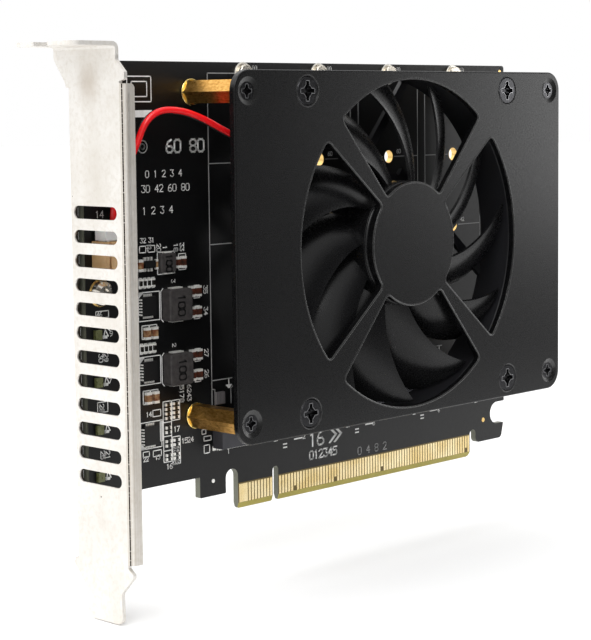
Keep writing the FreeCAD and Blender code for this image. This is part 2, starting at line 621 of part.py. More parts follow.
def drive_posts():
    """Threaded posts soldered in the 80 mm holes, tapped M2."""
    posts = []
    z = SOCKET_EDGE_Z + DRIVE_LENGTHS[0]
    for x in LANE_CENTRES:
        post = turned(x, z, [(0, -POST_HIGH), (1.8, -POST_HIGH), (1.95, 0.15 - POST_HIGH), (1.95, -0.35),
                             (2.25, -0.35), (2.25, 0), (1.55, 0), (1.55, 1.4), (0, 1.4)])
        posts.append(post.cut(rod(x, z, 0.8, -4, 3)))
    return posts


for number, centre_x in enumerate(LANE_CENTRES, 1):
    save("m2_socket_%d" % number, drive_socket(centre_x))
save("m2_socket_tails", socket_tails())
save("m2_posts", drive_posts())

# ---------------------------------------------------------------- fan connector and leads
HEADER_X = (-53.9, -46.0)
HEADER_Z = (57.2, 63.6)
PLUG_TOP = 67.8
LEAD_DIA = 1.4
PIN_X = (-51.95, -49.95, -47.95)


def fan_header():
    """Surface-mount three-way header, open upwards."""
    x0, x1 = HEADER_X
    z0, z1 = HEADER_Z
    body = box(x0, x1, -4.5, 0, z0, z1)
    body = body.cut(box(x0 + 0.9, x1 - 0.9, -3.8, -0.9, z0 + 1.6, z1 + 1))
    for x in PIN_X:
        body = body.cut(box(x - 0.27, x + 0.27, -2.62, -2.08, z0 - 1, z0 + 2))
    for slot_x in (x0 + 1.0, x1 - 1.6):
        body = body.cut(box(slot_x, slot_x + 0.6, -5, -3, z0 + 0.8, z1 + 1))
    return body


def header_pins():
    """Pins of the header and their solder feet."""
    z0, z1 = HEADER_Z
    pins = []
    for x in PIN_X:
        pin = box(x - 0.25, x + 0.25, -2.6, -2.1, z0 - 0.8, z0 + 5.0)
        foot = box(x - 0.25, x + 0.25, -2.6, 0, z0 - 1.3, z0 - 0.8)
        pins.append(pin.fuse(foot))
    return pins


def fan_plug():
    """Plug housing pushed down into the header."""
    x0, x1 = HEADER_X
    z0, z1 = HEADER_Z
    body = box(x0 + 1.0, x1 - 1.0, -3.7, -1.0, z0 + 1.7, PLUG_TOP)
    shoulder = box(x0 + 0.4, x1 - 0.4, -4.1, -0.7, z1 + 0.2, PLUG_TOP)
    body = body.fuse(shoulder)
    for x in PIN_X:
        body = body.cut(box(x - 0.45, x + 0.45, -2.8, -1.9, z0 + 1, z0 + 6.0))
        body = body.cut(box(x - 0.6, x + 0.6, -4.5, -3.1, PLUG_TOP - 1.8, PLUG_TOP - 0.8))
    return body


RED_ROUTE = [
    (-49.95, -2.4, 67.8), (-49.8, -2.5, 73.1), (-47.1, -3.0, 78.2), (-44.4, -3.8, 83.1),
    (-42.8, -4.7, 88.2), (-39.5, -5.7, 90.9), (-34.0, -6.8, 90.7), (-28.6, -7.9, 88.9),
    (-23.3, -8.9, 86.1), (-17.2, -9.7, 83.7), (-11.0, -9.9, 82.7),
]
BLACK_ROUTE = [
    (-47.95, -2.4, 67.8), (-47.9, -2.3, 73.1), (-45.6, -2.1, 78.0), (-43.4, -2.3, 83.0),
    (-41.8, -3.2, 88.3), (-38.4, -4.3, 90.9), (-32.7, -5.6, 90.4), (-27.2, -6.6, 88.5),
    (-21.9, -7.6, 85.7), (-15.8, -8.3, 83.3), (-11.0, -8.2, 82.5),
]


def lead(points, name):
    """Round lead along straight runs joined by tangent arcs as large as the runs allow."""
    corners = [V(*p) for p in points]
    edges = []
    last = corners[0]
    radii = []
    for k in range(1, len(corners) - 1):
        before = corners[k] - corners[k - 1]
        after = corners[k + 1] - corners[k]
        turn = before.getAngle(after)
        reach = 0.45 * min(before.Length, after.Length)
        radii.append(reach / math.tan(turn / 2))
        before.normalize()
        after.normalize()
        start = corners[k] - before * reach
        end = corners[k] + after * reach
        bisector = after - before
        bisector.normalize()
        centre = corners[k] + bisector * (radii[-1] / math.cos(turn / 2))
        edges.append(Part.LineSegment(last, start).toShape())
        edges.append(Part.Arc(start, centre - bisector * radii[-1], end).toShape())
        last = end
    edges.append(Part.LineSegment(last, corners[-1]).toShape())
    path = Part.Wire(edges)
    section = Part.Wire([Part.Circle(corners[0], corners[1] - corners[0], LEAD_DIA / 2).toShape()])
    tube = path.makePipeShell([section], True, False)
    wanted = math.pi * (LEAD_DIA / 2) ** 2 * path.Length
    print("%s length %.1f radii %s volume ratio %.4f" % (
        name, path.Length, " ".join("%.1f" % r for r in radii), tube.Volume / wanted))
    return tube


save("fan_header", fan_header())
save("header_pins", header_pins())
save("fan_plug", fan_plug())
save("red_lead", lead(RED_ROUTE, "red lead"))
save("black_lead", lead(BLACK_ROUTE, "black lead"))

# ---------------------------------------------------------------- power parts and small chips
CHOKE_X = -34.5
CHOKE_SIZE = 6.8
CHOKE_HIGH = 2.7
CHOKE_Z = {"choke_upper": 48.5, "choke_lower": 34.4}
SMALL_CHOKE = (-35.4, -30.9, 55.6, 59.9)
REGULATOR_Z = (48.7, 34.6, 20.5)


def choke(x0, x1, z0, z1, high, corner):
    """Moulded power choke with rounded upright corners and a broken top edge."""
    body = sheet_xz(rectangle(x0, x1, z0, z1, corner), -high, -0.1)
    top = [e for e in body.Edges if abs(e.CenterOfMass.y + high) < 1e-6]
    return body.makeChamfer(0.25, top)


def choke_terminals():
    """Tinned strips that wrap up the two ends of each choke."""
    strips = []
    sizes = [(CHOKE_X, CHOKE_X + CHOKE_SIZE, z - 3.5, z + 3.5, 2.0, 1.3) for z in CHOKE_Z.values()]
    sizes.append(SMALL_CHOKE + (0.9, 0.8))
    for x0, x1, z0, z1, high, rise in sizes:
        middle = (x0 + x1) / 2
        wide = (x1 - x0) * 0.24
        for edge, step in ((z1, 0.3), (z0, -0.3)):
            low, top = sorted((edge, edge + step))
            strips.append(box(middle - wide, middle + wide, -rise, 0, low, top))
    return strips


def regulators():
    """Flat leadless regulator chips."""
    return [box(-40.8, -36.9, -0.9, 0, z - 2.1, z + 2.1) for z in REGULATOR_Z]


def controller():
    """Six-lead chip body."""
    return box(-40.1, -37.1, -1.2, -0.15, 56.95, 58.55)


def controller_leads():
    leads = []
    for x in (-39.55, -38.6, -37.65):
        leads.append(box(x - 0.2, x + 0.2, -0.5, 0, 58.55, 59.3))
        leads.append(box(x - 0.2, x + 0.2, -0.5, 0, 56.2, 56.95))
    return leads


# chip places: x centre, z centre, wide, long, high, with the length along Z unless marked
BIG_CAPACITORS = [(x, z, 1.35, 2.6, 0.9) for z in (42.8, 28.7) for x in (-39.3, -37.15)]
BIG_CAPACITORS += [(x, z, 1.25, 2.4, 0.9) for z in (50.9, 46.3, 36.8, 32.3) for x in (-26.1, -24.1)]
BIG_CAPACITORS += [(-41.0, 57.6, 1.2, 2.6, 0.9), (-36.2, 57.6, 0.6, 2.2, 0.6)]
BIG_CAPACITORS += [(-29.9, 57.6, 1.0, 2.4, 0.8), (-28.4, 57.6, 1.1, 2.6, 0.9)]
SMALL_RESISTORS = [(x, z, 0.5, 1.9, 0.45) for z in (53.7, 39.5) for x in (-40.6, -39.4, -38.2, -37.0)]
ARRAY_ROWS = {
    -33.4: (26.6, 25.6, 24.6, 23.6, 21.5, 20.5, 18.5, 17.5, 15.4, 14.5),
    -31.1: (26.6, 25.6, 24.6, 23.6, 18.5, 17.5, 15.4, 14.5),
}
ARRAY_RESISTORS = [(x, z, 1.7, 0.55, 0.4) for x, rows in ARRAY_ROWS.items() for z in rows]


def chip_parts(places):
    """Bodies and their two tinned ends, which stand 0.03 proud of the body."""
    bodies = []
    ends = []
    for x, z, wide, tall, high in places:
        if tall > wide:
            cap = tall * 0.22
            bodies.append(box(x - wide / 2, x + wide / 2, -high, 0, z - tall / 2 + cap, z + tall / 2 - cap))
            for z0, z1 in ((z - tall / 2, z - tall / 2 + cap), (z + tall / 2 - cap, z + tall / 2)):
                ends.append(box(x - wide / 2 - 0.03, x + wide / 2 + 0.03, -high - 0.03, 0, z0, z1))
        else:
            cap = wide * 0.25
            bodies.append(box(x - wide / 2 + cap, x + wide / 2 - cap, -high, 0, z - tall / 2, z + tall / 2))
            for x0, x1 in ((x - wide / 2, x - wide / 2 + cap), (x + wide / 2 - cap, x + wide / 2)):
                ends.append(box(x0, x1, -high - 0.03, 0, z - tall / 2 - 0.03, z + tall / 2 + 0.03))
    return bodies, ends


def status_lights():
    """Four surface-mount lamps in a column behind the vents."""
    return [box(-53.9, -52.2, -0.8, 0, z - 1.0, z + 1.0) for z in (43.8, 33.7, 23.6, 13.5)]


def lane_switches():
    """One small flat power switch beside each socket."""
    return [box(x - 10.2, x - 7.7, -0.8, 0, 24.9, 27.6) for x in LANE_CENTRES]


for node, middle_z in CHOKE_Z.items():
    save(node, choke(CHOKE_X, CHOKE_X + CHOKE_SIZE, middle_z - 3.5, middle_z + 3.5, CHOKE_HIGH, 0.8))
save("choke_small", choke(*SMALL_CHOKE, 1.1, 0.6))
save("choke_terminals", choke_terminals())
save("regulators", regulators())
save("controller", controller())
save("controller_leads", controller_leads())
capacitor_bodies, capacitor_ends = chip_parts(BIG_CAPACITORS)
resistor_bodies, resistor_ends = chip_parts(SMALL_RESISTORS + ARRAY_RESISTORS)
save("capacitors", capacitor_bodies)
save("resistors", resistor_bodies)
save("chip_ends", capacitor_ends + resistor_ends)
save("status_lights", status_lights())
save("lane_switches", lane_switches())
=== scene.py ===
import math
import bpy
import numpy as np
from mathutils import Matrix, Vector


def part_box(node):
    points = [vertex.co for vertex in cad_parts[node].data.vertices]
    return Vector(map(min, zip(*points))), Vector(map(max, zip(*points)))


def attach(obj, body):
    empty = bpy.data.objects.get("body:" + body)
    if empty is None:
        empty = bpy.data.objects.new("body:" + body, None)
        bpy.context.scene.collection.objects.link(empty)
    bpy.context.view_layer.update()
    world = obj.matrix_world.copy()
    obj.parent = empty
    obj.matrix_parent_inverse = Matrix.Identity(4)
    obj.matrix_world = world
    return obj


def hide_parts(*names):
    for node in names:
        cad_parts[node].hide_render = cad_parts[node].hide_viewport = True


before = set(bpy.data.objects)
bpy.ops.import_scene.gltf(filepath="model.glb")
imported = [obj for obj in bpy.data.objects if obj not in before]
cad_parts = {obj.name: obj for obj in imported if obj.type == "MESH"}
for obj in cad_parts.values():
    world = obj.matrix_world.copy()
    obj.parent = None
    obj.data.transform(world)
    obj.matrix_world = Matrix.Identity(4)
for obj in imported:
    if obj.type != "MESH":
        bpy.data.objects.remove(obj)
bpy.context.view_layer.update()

# ---------------------------------------------------------------- circuit board
# Glass-epoxy laminate, 1.57 mm thick, under satin black solder mask. The mask lies on the two
# faces only: the routed edges and the bevel below the contacts show the bare olive laminate.
MM = 0.001
BOARD_THICK = 1.57
TONGUE_MIDDLE, TONGUE_HALF = 30.0, 42.2
FINGER_TOP, BEVEL_TOP = 5.9, 1.3
MASK_BLACK = "#080809"
LAMINATE = "#A39744"
GAP = "#6E5C2C"
CUT_EDGE = "#6C6D60"

# the Mix node's sockets for colours: the share of the second, the two colours and the result
SHARE, FIRST, SECOND, RESULT = 0, 6, 7, 2


def linear(colour):
    """An sRGB hex colour as the linear RGBA that a shader socket takes."""
    s = np.array([int(colour[k:k + 2], 16) for k in (1, 3, 5)]) / 255
    rgb = np.where(s <= 0.04045, s / 12.92, ((s + 0.055) / 1.055) ** 2.4)
    return (*rgb, 1.0)


def node(material, kind, inputs=(), **settings):
    """Adds one shader node: settings are its properties, inputs are numbers, colours or outputs."""
    made = material.node_tree.nodes.new("ShaderNode" + kind)
    for key, value in settings.items():
        setattr(made, key, value)
    for key, value in dict(inputs).items():
        if isinstance(value, bpy.types.NodeSocket):
            material.node_tree.links.new(value, made.inputs[key])
        else:
            made.inputs[key].default_value = value
    return made


def surface(name, colour, rough, metallic=0.0, **constants):
    """A material of one finish; constants go on the shader's own sockets, _ standing for a space."""
    material = bpy.data.materials.new(name)
    material.use_nodes = True
    inputs = material.node_tree.nodes["Principled BSDF"].inputs
    inputs["Base Color"].default_value = linear(colour)
    inputs["Roughness"].default_value = rough
    inputs["Metallic"].default_value = metallic
    for key, value in constants.items():
        inputs[key.replace("_", " ")].default_value = value
    return material


def feed(material, **sources):
    """Links outputs to the sockets of the material's shader, _ standing for a space."""
    inputs = material.node_tree.nodes["Principled BSDF"].inputs
    for key, output in sources.items():
        material.node_tree.links.new(output, inputs[key.replace("_", " ")])


def grain(material, size, height, gloss=None, stretch=(1, 1, 1), detail=3.0):
    """Grain of a size and height in mm: bump, and roughness from gloss[0] to gloss[1] with it.

    The real grain of these skins is some 0.05 to 0.2 mm. It is drawn as coarse as it needs to show."""
    place = node(material, "TexCoord").outputs["Object"]
    place = node(material, "Mapping", {"Vector": place, "Scale": stretch}).outputs[0]
    noise = node(material, "TexNoise", {"Vector": place, "Scale": 1 / (size * MM), "Detail": detail})
    bump = node(material, "Bump", {"Height": noise.outputs[0], "Distance": height * MM})
    feed(material, Normal=bump.outputs[0])
    if gloss:
        rough = node(material, "MapRange", {"Value": noise.outputs[0], "From Min": 0.3, "From Max": 0.7,
                                            "To Min": gloss[0], "To Max": gloss[1]})
        feed(material, Roughness=rough.outputs[0])


def clouds(material, size, first, second, low=0.35, high=0.65, stretch=(1, 1, 1)):
    """Slow change between two colours, in patches of a size in mm; returns the mixed colour."""
    place = node(material, "TexCoord").outputs["Object"]
    place = node(material, "Mapping", {"Vector": place, "Scale": stretch}).outputs[0]
    noise = node(material, "TexNoise", {"Vector": place, "Scale": 1 / (size * MM), "Detail": 4.0})
    share = node(material, "MapRange", {"Value": noise.outputs[0], "From Min": low, "From Max": high})
    mix = node(material, "Mix", {SHARE: share.outputs[0], FIRST: linear(first), SECOND: linear(second)},
               data_type="RGBA")
    return mix.outputs[RESULT]


def paint(name, material):
    """Gives a CAD node its material."""
    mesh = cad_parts[name].data
    mesh.materials.clear()
    mesh.materials.append(material)


# Solder mask: cured liquid film, satin, with the weave faintly showing through. Shares of 0 and 1
# tell the film from the routed edges, and the bare tongue with its gaps, cut sides and bevel.
mask = surface("black_solder_mask", MASK_BLACK, 0.42, Specular_IOR_Level=0.34)
grain(mask, 0.9, 0.006, (0.36, 0.48))
way_out = node(mask, "SeparateXYZ", {"Vector": node(mask, "NewGeometry").outputs["Normal"]})
flat = node(mask, "Math", {0: way_out.outputs["Y"]}, operation="ABSOLUTE")
routed = node(mask, "Math", {0: flat.outputs[0], 1: 0.97}, operation="LESS_THAN")
cut_side = node(mask, "Math", {0: flat.outputs[0], 1: 0.3}, operation="LESS_THAN")
place = node(mask, "SeparateXYZ", {"Vector": node(mask, "TexCoord").outputs["Object"]})
bare = node(mask, "Math", {0: place.outputs["Z"], 1: FINGER_TOP * MM}, operation="LESS_THAN")
bevel = node(mask, "Math", {0: place.outputs["Z"], 1: BEVEL_TOP * MM}, operation="LESS_THAN")
tongue = node(mask, "Math", {0: place.outputs["X"], 1: TONGUE_MIDDLE * MM}, operation="SUBTRACT")
tongue = node(mask, "Math", {0: tongue.outputs[0]}, operation="ABSOLUTE")
tongue = node(mask, "Math", {0: tongue.outputs[0], 1: TONGUE_HALF * MM}, operation="LESS_THAN")
finger = node(mask, "Math", {0: bare.outputs[0], 1: tongue.outputs[0]}, operation="MULTIPLY")
film = node(mask, "Mix", {SHARE: routed.outputs[0], FIRST: clouds(mask, 18, MASK_BLACK, "#0D0D0E"),
                          SECOND: linear(CUT_EDGE)}, data_type="RGBA")
olive = node(mask, "Mix", {SHARE: bevel.outputs[0], FIRST: linear(GAP),
                           SECOND: clouds(mask, 8, LAMINATE, "#AFA24E")}, data_type="RGBA")
olive = node(mask, "Mix", {SHARE: cut_side.outputs[0], FIRST: olive.outputs[RESULT],
                           SECOND: linear(CUT_EDGE)}, data_type="RGBA")
film = node(mask, "Mix", {SHARE: finger.outputs[0], FIRST: film.outputs[RESULT],
                          SECOND: olive.outputs[RESULT]}, data_type="RGBA")
feed(mask, Base_Color=film.outputs[RESULT])
paint("circuit_board", mask)

# ---------------------------------------------------------------- plated holes and pads
# Copper plated with immersion gold: the walls of the twelve drive-length holes, the rings
# under the bracket screws and two tooling pads. The post rings and a test pin are tinned.
LANE_X = (-8.94, 15.89, 40.72, 65.55)
SOCKET_EDGE_Z = 18.82
DRIVE_LENGTHS = (80.0, 60.0, 42.0, 30.0)
TAB_SCREWS = ((-51.9, 52.56), (-51.9, 95.03))
TOOLING_PADS = ((77.8, 8.9), (84.95, 99.6))
TEST_PIN = (-20.0, 7.6)
SUNK = 0.01


def piece(name, points, faces, material, slot, body="card", smooth=False):
    """A mesh from an array of points in mm and an array of faces, riding on a body."""
    mesh = bpy.data.meshes.new(name)
    mesh.from_pydata((np.asarray(points, float).reshape(-1, 3) * MM).tolist(), [], faces)
    mesh.materials.append(material)
    mesh.polygons.foreach_set("use_smooth", np.full(len(mesh.polygons), smooth))
    mesh.update()
    made = bpy.data.objects.new(name, mesh)
    bpy.context.scene.collection.objects.link(made)
    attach(made, body)


def rings(places, inner, outer, front, back, parts=40):
    """Flat rings round the places (x, z): a rectangle of radius and depth carried round a circle."""
    angle = np.linspace(0, 2 * math.pi, parts, endpoint=False)[None, :, None]
    radius = np.array([inner, outer, outer, inner])[None, None, :]
    depth = np.array([front, front, back, back])[None, None, :]
    centre = np.asarray(places, float)[:, None, None, :]
    x = centre[..., 0] + radius * np.cos(angle)
    z = centre[..., 1] + radius * np.sin(angle)
    points = np.stack(np.broadcast_arrays(x, depth, z), -1)
    index = np.arange(points[..., 0].size).reshape(points.shape[:3])
    ahead = np.roll(index, -1, 1)
    faces = np.stack([index, np.roll(index, -1, 2), np.roll(ahead, -1, 2), ahead], -1)
    return points.reshape(-1, 3), faces.reshape(-1, 4).tolist()


# immersion gold is thin and follows the etched copper, so it is warm, satin and never a mirror
gold = surface("immersion_gold_plating", "#E3C07A", 0.3, 1.0)
grain(gold, 0.5, 0.004, (0.24, 0.38))
lane_holes = [(x, SOCKET_EDGE_Z + run) for x in LANE_X for run in DRIVE_LENGTHS[1:]]
post_places = [(x, SOCKET_EDGE_Z + DRIVE_LENGTHS[0]) for x in LANE_X]
piece("hole_plating", *rings(lane_holes, 1.52, 1.61, -0.02, BOARD_THICK + 0.02), gold, "contact_gold")
piece("screw_rings", *rings(TAB_SCREWS, 1.7, 2.95, -0.03, SUNK), gold, "contact_gold")
piece("tooling_pads", *rings(TOOLING_PADS, 0.02, 0.6, -0.03, SUNK), gold, "contact_gold")

# reflowed tin is satin, so it stays pale from every side; it is on all soldered joints too
tin = surface("reflowed_tin", "#FAF9F4", 0.42, 0.4)
grain(tin, 0.3, 0.012, (0.34, 0.5))
piece("post_rings", *rings(post_places, 2.2, 2.55, -0.05, SUNK), tin, "tinned_metal")
piece("test_pin", *rings([TEST_PIN], 0.02, 0.45, -0.12, 0.4), tin, "tinned_metal")

# ---------------------------------------------------------------- edge contacts
# Hard gold over nickel on the tongue, 0.7 mm wide on a 1 mm pitch, with a few fine rubbing
# marks from a slot's springs running up each contact.
hard_gold = surface("hard_gold_contacts", "#F0DAA6", 0.28, 1.0)
grain(hard_gold, 0.35, 0.003, (0.22, 0.36), stretch=(3, 1, 0.5))
feed(hard_gold, Base_Color=clouds(hard_gold, 6, "#F6E4B6", "#E2C88C"))
paint("edge_contacts_front", hard_gold)
paint("edge_contacts_back", hard_gold)

# ---------------------------------------------------------------- bracket
# Bright nickel-plated cold-rolled steel, 0.86 mm, stamped and folded. The plating is satin
# with faint cloudy patches, a few pin-head specks and a fine grain along the strip.
nickel = surface("satin_nickel_plated_steel", "#E2DED8", 0.46, 0.82)
grain(nickel, 0.5, 0.006, (0.4, 0.54), stretch=(1, 1, 0.5))
place = node(nickel, "TexCoord").outputs["Object"]
axis = node(nickel, "SeparateXYZ", {"Vector": place}).outputs


def zone(material, *ranges):
    """1 where every value, in metres, lies between its low and high, in mm, else 0."""
    share = 1.0
    for value, low, high in ranges:
        for limit, side in ((low, "GREATER_THAN"), (high, "LESS_THAN")):
            kept = node(material, "Math", {0: value, 1: limit * MM}, operation=side).outputs[0]
            share = node(material, "Math", {0: share, 1: kept}, operation="MULTIPLY").outputs[0]
    return share


# handling has left a soft brown smudge near the top, and the plating has fine mottling
SMUDGE_PLACE, SMUDGE_R = (-0.058, -0.0048, 0.0965), 0.0052
tone = clouds(nickel, 9, "#E6E3DE", "#D8D3CB", 0.4, 0.75, (1, 1, 0.6))
mottle = node(nickel, "TexNoise", {"Vector": place, "Scale": 1 / (0.9 * MM), "Detail": 3.0})
mottle = node(nickel, "MapRange", {"Value": mottle.outputs[0], "From Min": 0.45, "From Max": 0.75,
                                   "To Max": 0.5})
tone = node(nickel, "Mix", {SHARE: mottle.outputs[0], FIRST: tone, SECOND: linear("#D0C9BE")},
            data_type="RGBA")
smudge = node(nickel, "VectorMath", {0: place, 1: SMUDGE_PLACE}, operation="SUBTRACT")
smudge = node(nickel, "VectorMath", {0: smudge.outputs[0], 1: (1.0, 1.0, 0.8)}, operation="MULTIPLY")
smudge = node(nickel, "VectorMath", {0: smudge.outputs[0]}, operation="LENGTH")
smudge = node(nickel, "MapRange", {"Value": smudge.outputs["Value"], "From Max": SMUDGE_R,
                                   "To Min": 0.5, "To Max": 0.0}, interpolation_type="SMOOTHSTEP")
tone = node(nickel, "Mix", {SHARE: smudge.outputs[0], FIRST: tone.outputs[RESULT],
                            SECOND: linear("#B7A998")}, data_type="RGBA")
specks = node(nickel, "TexVoronoi", {"Vector": place, "Scale": 1 / (9 * MM), "Randomness": 1.0})
specks = node(nickel, "Math", {0: specks.outputs["Distance"], 1: 0.024}, operation="LESS_THAN")
tone = node(nickel, "Mix", {SHARE: specks.outputs[0], FIRST: tone.outputs[RESULT],
                            SECOND: linear("#4A3D30")}, data_type="RGBA")

# the lip is painted with darker streaks along its bend, a painted shade, and the darkest one, dark and
# broken, is a painted shade line at the bend
round_bend = node(nickel, "Math", {0: axis["X"], 1: axis["Y"]}, operation="SUBTRACT").outputs[0]
on_lip = ((axis["Y"], -20, -14.35), (axis["Z"], -2.4, 96.2))
lip_shade_streaks = node(nickel, "CombineXYZ", {"X": round_bend})
lip_shade_streaks = node(nickel, "TexNoise", {"Vector": lip_shade_streaks.outputs[0], "Scale": 1 / (0.34 * MM), "Detail": 1.0})
lip_shade_streaks = node(nickel, "MapRange", {"Value": lip_shade_streaks.outputs[0], "From Min": 0.4, "From Max": 0.6,
                                "To Max": 0.55})
lip_shade_streaks = node(nickel, "Math", {0: lip_shade_streaks.outputs[0], 1: zone(nickel, *on_lip)}, operation="MULTIPLY")
tone = node(nickel, "Mix", {SHARE: lip_shade_streaks.outputs[0], FIRST: tone.outputs[RESULT],
                            SECOND: linear("#B3A797")}, data_type="RGBA")
# the painted shade line at the bend is broken along its length
broken = node(nickel, "CombineXYZ", {"Z": axis["Z"]})
broken = node(nickel, "TexNoise", {"Vector": broken.outputs[0], "Scale": 1 / (0.5 * MM), "Detail": 2.0})
broken = node(nickel, "MapRange", {"Value": broken.outputs[0], "From Min": 0.34, "From Max": 0.46,
                                   "To Min": 0.4, "To Max": 1.0})
bend_shade_line = zone(nickel, (round_bend, -43.02, -42.6), *on_lip)
bend_shade_line = node(nickel, "Math", {0: broken.outputs[0], 1: bend_shade_line}, operation="MULTIPLY")
tone = node(nickel, "Mix", {SHARE: bend_shade_line.outputs[0], FIRST: tone.outputs[RESULT],
                            SECOND: linear("#2B231D")}, data_type="RGBA")

# painted shade: the rear part of each vent's punched wall is painted dark, and so is the corner
# inside the rear bend, where shade falls
painted_corner_shade = zone(nickel, (axis["X"], -57.2, -56.0), (axis["Y"], 0.5, 1.6))
tone = node(nickel, "Mix", {SHARE: painted_corner_shade, FIRST: tone.outputs[RESULT],
                            SECOND: linear("#4A4540")}, data_type="RGBA")
painted_vent_wall_shade = zone(nickel, (axis["X"], -57.68, -57.1), (axis["Y"], -13.1, 1.6), (axis["Z"], 13.0, 72.0))
tone = node(nickel, "Mix", {SHARE: painted_vent_wall_shade, FIRST: tone.outputs[RESULT], SECOND: linear("#3A3530")},
            data_type="RGBA")
feed(nickel, Base_Color=tone.outputs[RESULT])

# the flange has the least wear, and its plating is duller and whiter
on_flange = zone(nickel, (axis["Z"], 102.0, 110.0))
sheen = node(nickel, "MapRange", {"Value": on_flange, "To Min": 0.82, "To Max": 0.3})
feed(nickel, Metallic=sheen.outputs[0])
paint("bracket", nickel)

# ---------------------------------------------------------------- bracket screws
# Nickel-plated steel pan-head screws with a cross recess, driven through the board into the
# bracket's two tabs. The plating is bright and barely marked.
screw_steel = surface("plated_screw_steel", "#E2DDD4", 0.16, 1.0)
grain(screw_steel, 0.4, 0.004, (0.1, 0.24))
paint("bracket_screws", screw_steel)

# ---------------------------------------------------------------- board legend
# White epoxy ink screened on the mask, about 0.02 mm thick: lane outlines with a line at each
# drive length, outlines and plain numbers beside the parts, and a blank label bar.
INK_FRONT, INK_BACK = -0.03, SUNK
DIGIT_STEP = 0.86
LANE_LEFT, LANE_WIDE = (-19.94, 4.89, 29.72, 54.55), 22.0
LANE_LOW, LANE_HIGH = 31.0, 98.8
DIGITS = (
    "10 30 41 45 36 16 05 01 10", "15 26 20", "05 16 36 45 44 00 40", "06 46 24 42 41 30 10 01",
    "30 36 02 42", "46 06 03 34 43 41 30 00", "36 15 03 01 10 30 41 42 33 03", "06 46 10",
    "13 04 05 16 36 45 44 33 13 02 01 10 30 41 42 33", "43 13 04 05 16 36 45 43 31 10")


def bars(lines, wide, front=INK_FRONT, back=INK_BACK):
    """Flat bars: each line (x0, z0, x1, z1) widened by half of wide on every side, as closed boxes."""
    lines = np.asarray(lines, float).reshape(-1, 4)
    start, end = lines[:, :2], lines[:, 2:]
    run = np.linalg.norm(end - start, axis=1, keepdims=True)
    along = np.where(run > 0, (end - start) / np.where(run > 0, run, 1), (1.0, 0.0)) * wide / 2
    aside = along[:, ::-1] * (-1, 1)
    ring = [start - along - aside, end + along - aside, end + along + aside, start - along + aside]
    ring = np.stack(ring + ring, 1)
    depth = np.broadcast_to(np.repeat((front, back), 4), ring.shape[:2])
    points = np.stack([ring[..., 0], depth, ring[..., 1]], -1)
    one = np.array([(0, 1, 2, 3), (7, 6, 5, 4), (0, 4, 5, 1), (1, 5, 6, 2), (2, 6, 7, 3), (3, 7, 4, 0)])
    faces = one[None] + 8 * np.arange(len(lines))[:, None, None]
    return points.reshape(-1, 3), faces.reshape(-1, 4).tolist()


def frames(boxes):
    """The four sides of each rectangle (x0, x1, z0, z1)."""
    x0, x1, z0, z1 = np.asarray(boxes, float).T
    sides = [(x0, z0, x1, z0), (x1, z0, x1, z1), (x1, z1, x0, z1), (x0, z1, x0, z0)]
    return np.concatenate([np.stack(side, 1) for side in sides]).tolist()


def figures(text, x, z, high, upright=True):
    """Strokes of plain digits on a 4 by 6 grid, from (x, z) to the right or downwards on their side."""
    strokes = []
    for place, digit in enumerate(text):
        if digit == " ":
            continue
        grid = np.array([[int(c) for c in point] for point in DIGITS[int(digit)].split()]) * high / 6
        along, rise = grid[:, 0] + DIGIT_STEP * high * place, grid[:, 1]
        path = np.c_[x + along, z + rise] if upright else np.c_[x + rise, z - along]
        strokes += np.c_[path[:-1], path[1:]].tolist()
    return strokes


# epoxy ink dries matt and a little uneven; the grey ink is painted shade on the lane outlines, which lie
# behind the fan, and thin ink on the faint numbers
ink = surface("white_epoxy_ink", "#F4F4F2", 0.6)
grain(ink, 0.3, 0.006, (0.52, 0.68))
feed(ink, Base_Color=clouds(ink, 2.5, "#FCFCFA", "#E0E0DE"))
thin_and_shaded_ink = surface("thin_and_shaded_white_ink", "#A4A4A4", 0.6)
grain(thin_and_shaded_ink, 0.3, 0.006, (0.52, 0.68))

lane_lines = []
for left in LANE_LEFT:
    right = left + LANE_WIDE
    lane_lines += [(left, LANE_LOW, left, LANE_HIGH), (right, LANE_LOW, right, LANE_HIGH)]
    lane_lines += [(left, LANE_HIGH, left + 9.0, LANE_HIGH), (left + 13.0, LANE_HIGH, right, LANE_HIGH)]
    for run in DRIVE_LENGTHS[1:3]:
        level_z = SOCKET_EDGE_Z + run
        lane_lines += [(left, level_z, left + 8.8, level_z), (left + 13.2, level_z, right, level_z)]
    lane_lines += [(left, 28.5, left, LANE_LOW), (right, 28.5, right, LANE_LOW)]
    lane_lines += [(left, 30.3, left + 6.3, 30.3), (left, 28.4, left + 0.9, 28.2)]
    lane_lines += [(left, 24.9, left, 28.5), (left + 0.9, 24.3, left + 0.9, 28.2)]
    lane_lines += [(left + 5.9, 24.6, left + 5.9, 28.0), (left + 5.9, 28.0, left + 6.4, 28.4)]
# the lane outlines lie behind the fan and are drawn in the grey ink as painted shade
piece("lane_outlines", *bars(lane_lines, 0.22), thin_and_shaded_ink, "board_laminate")

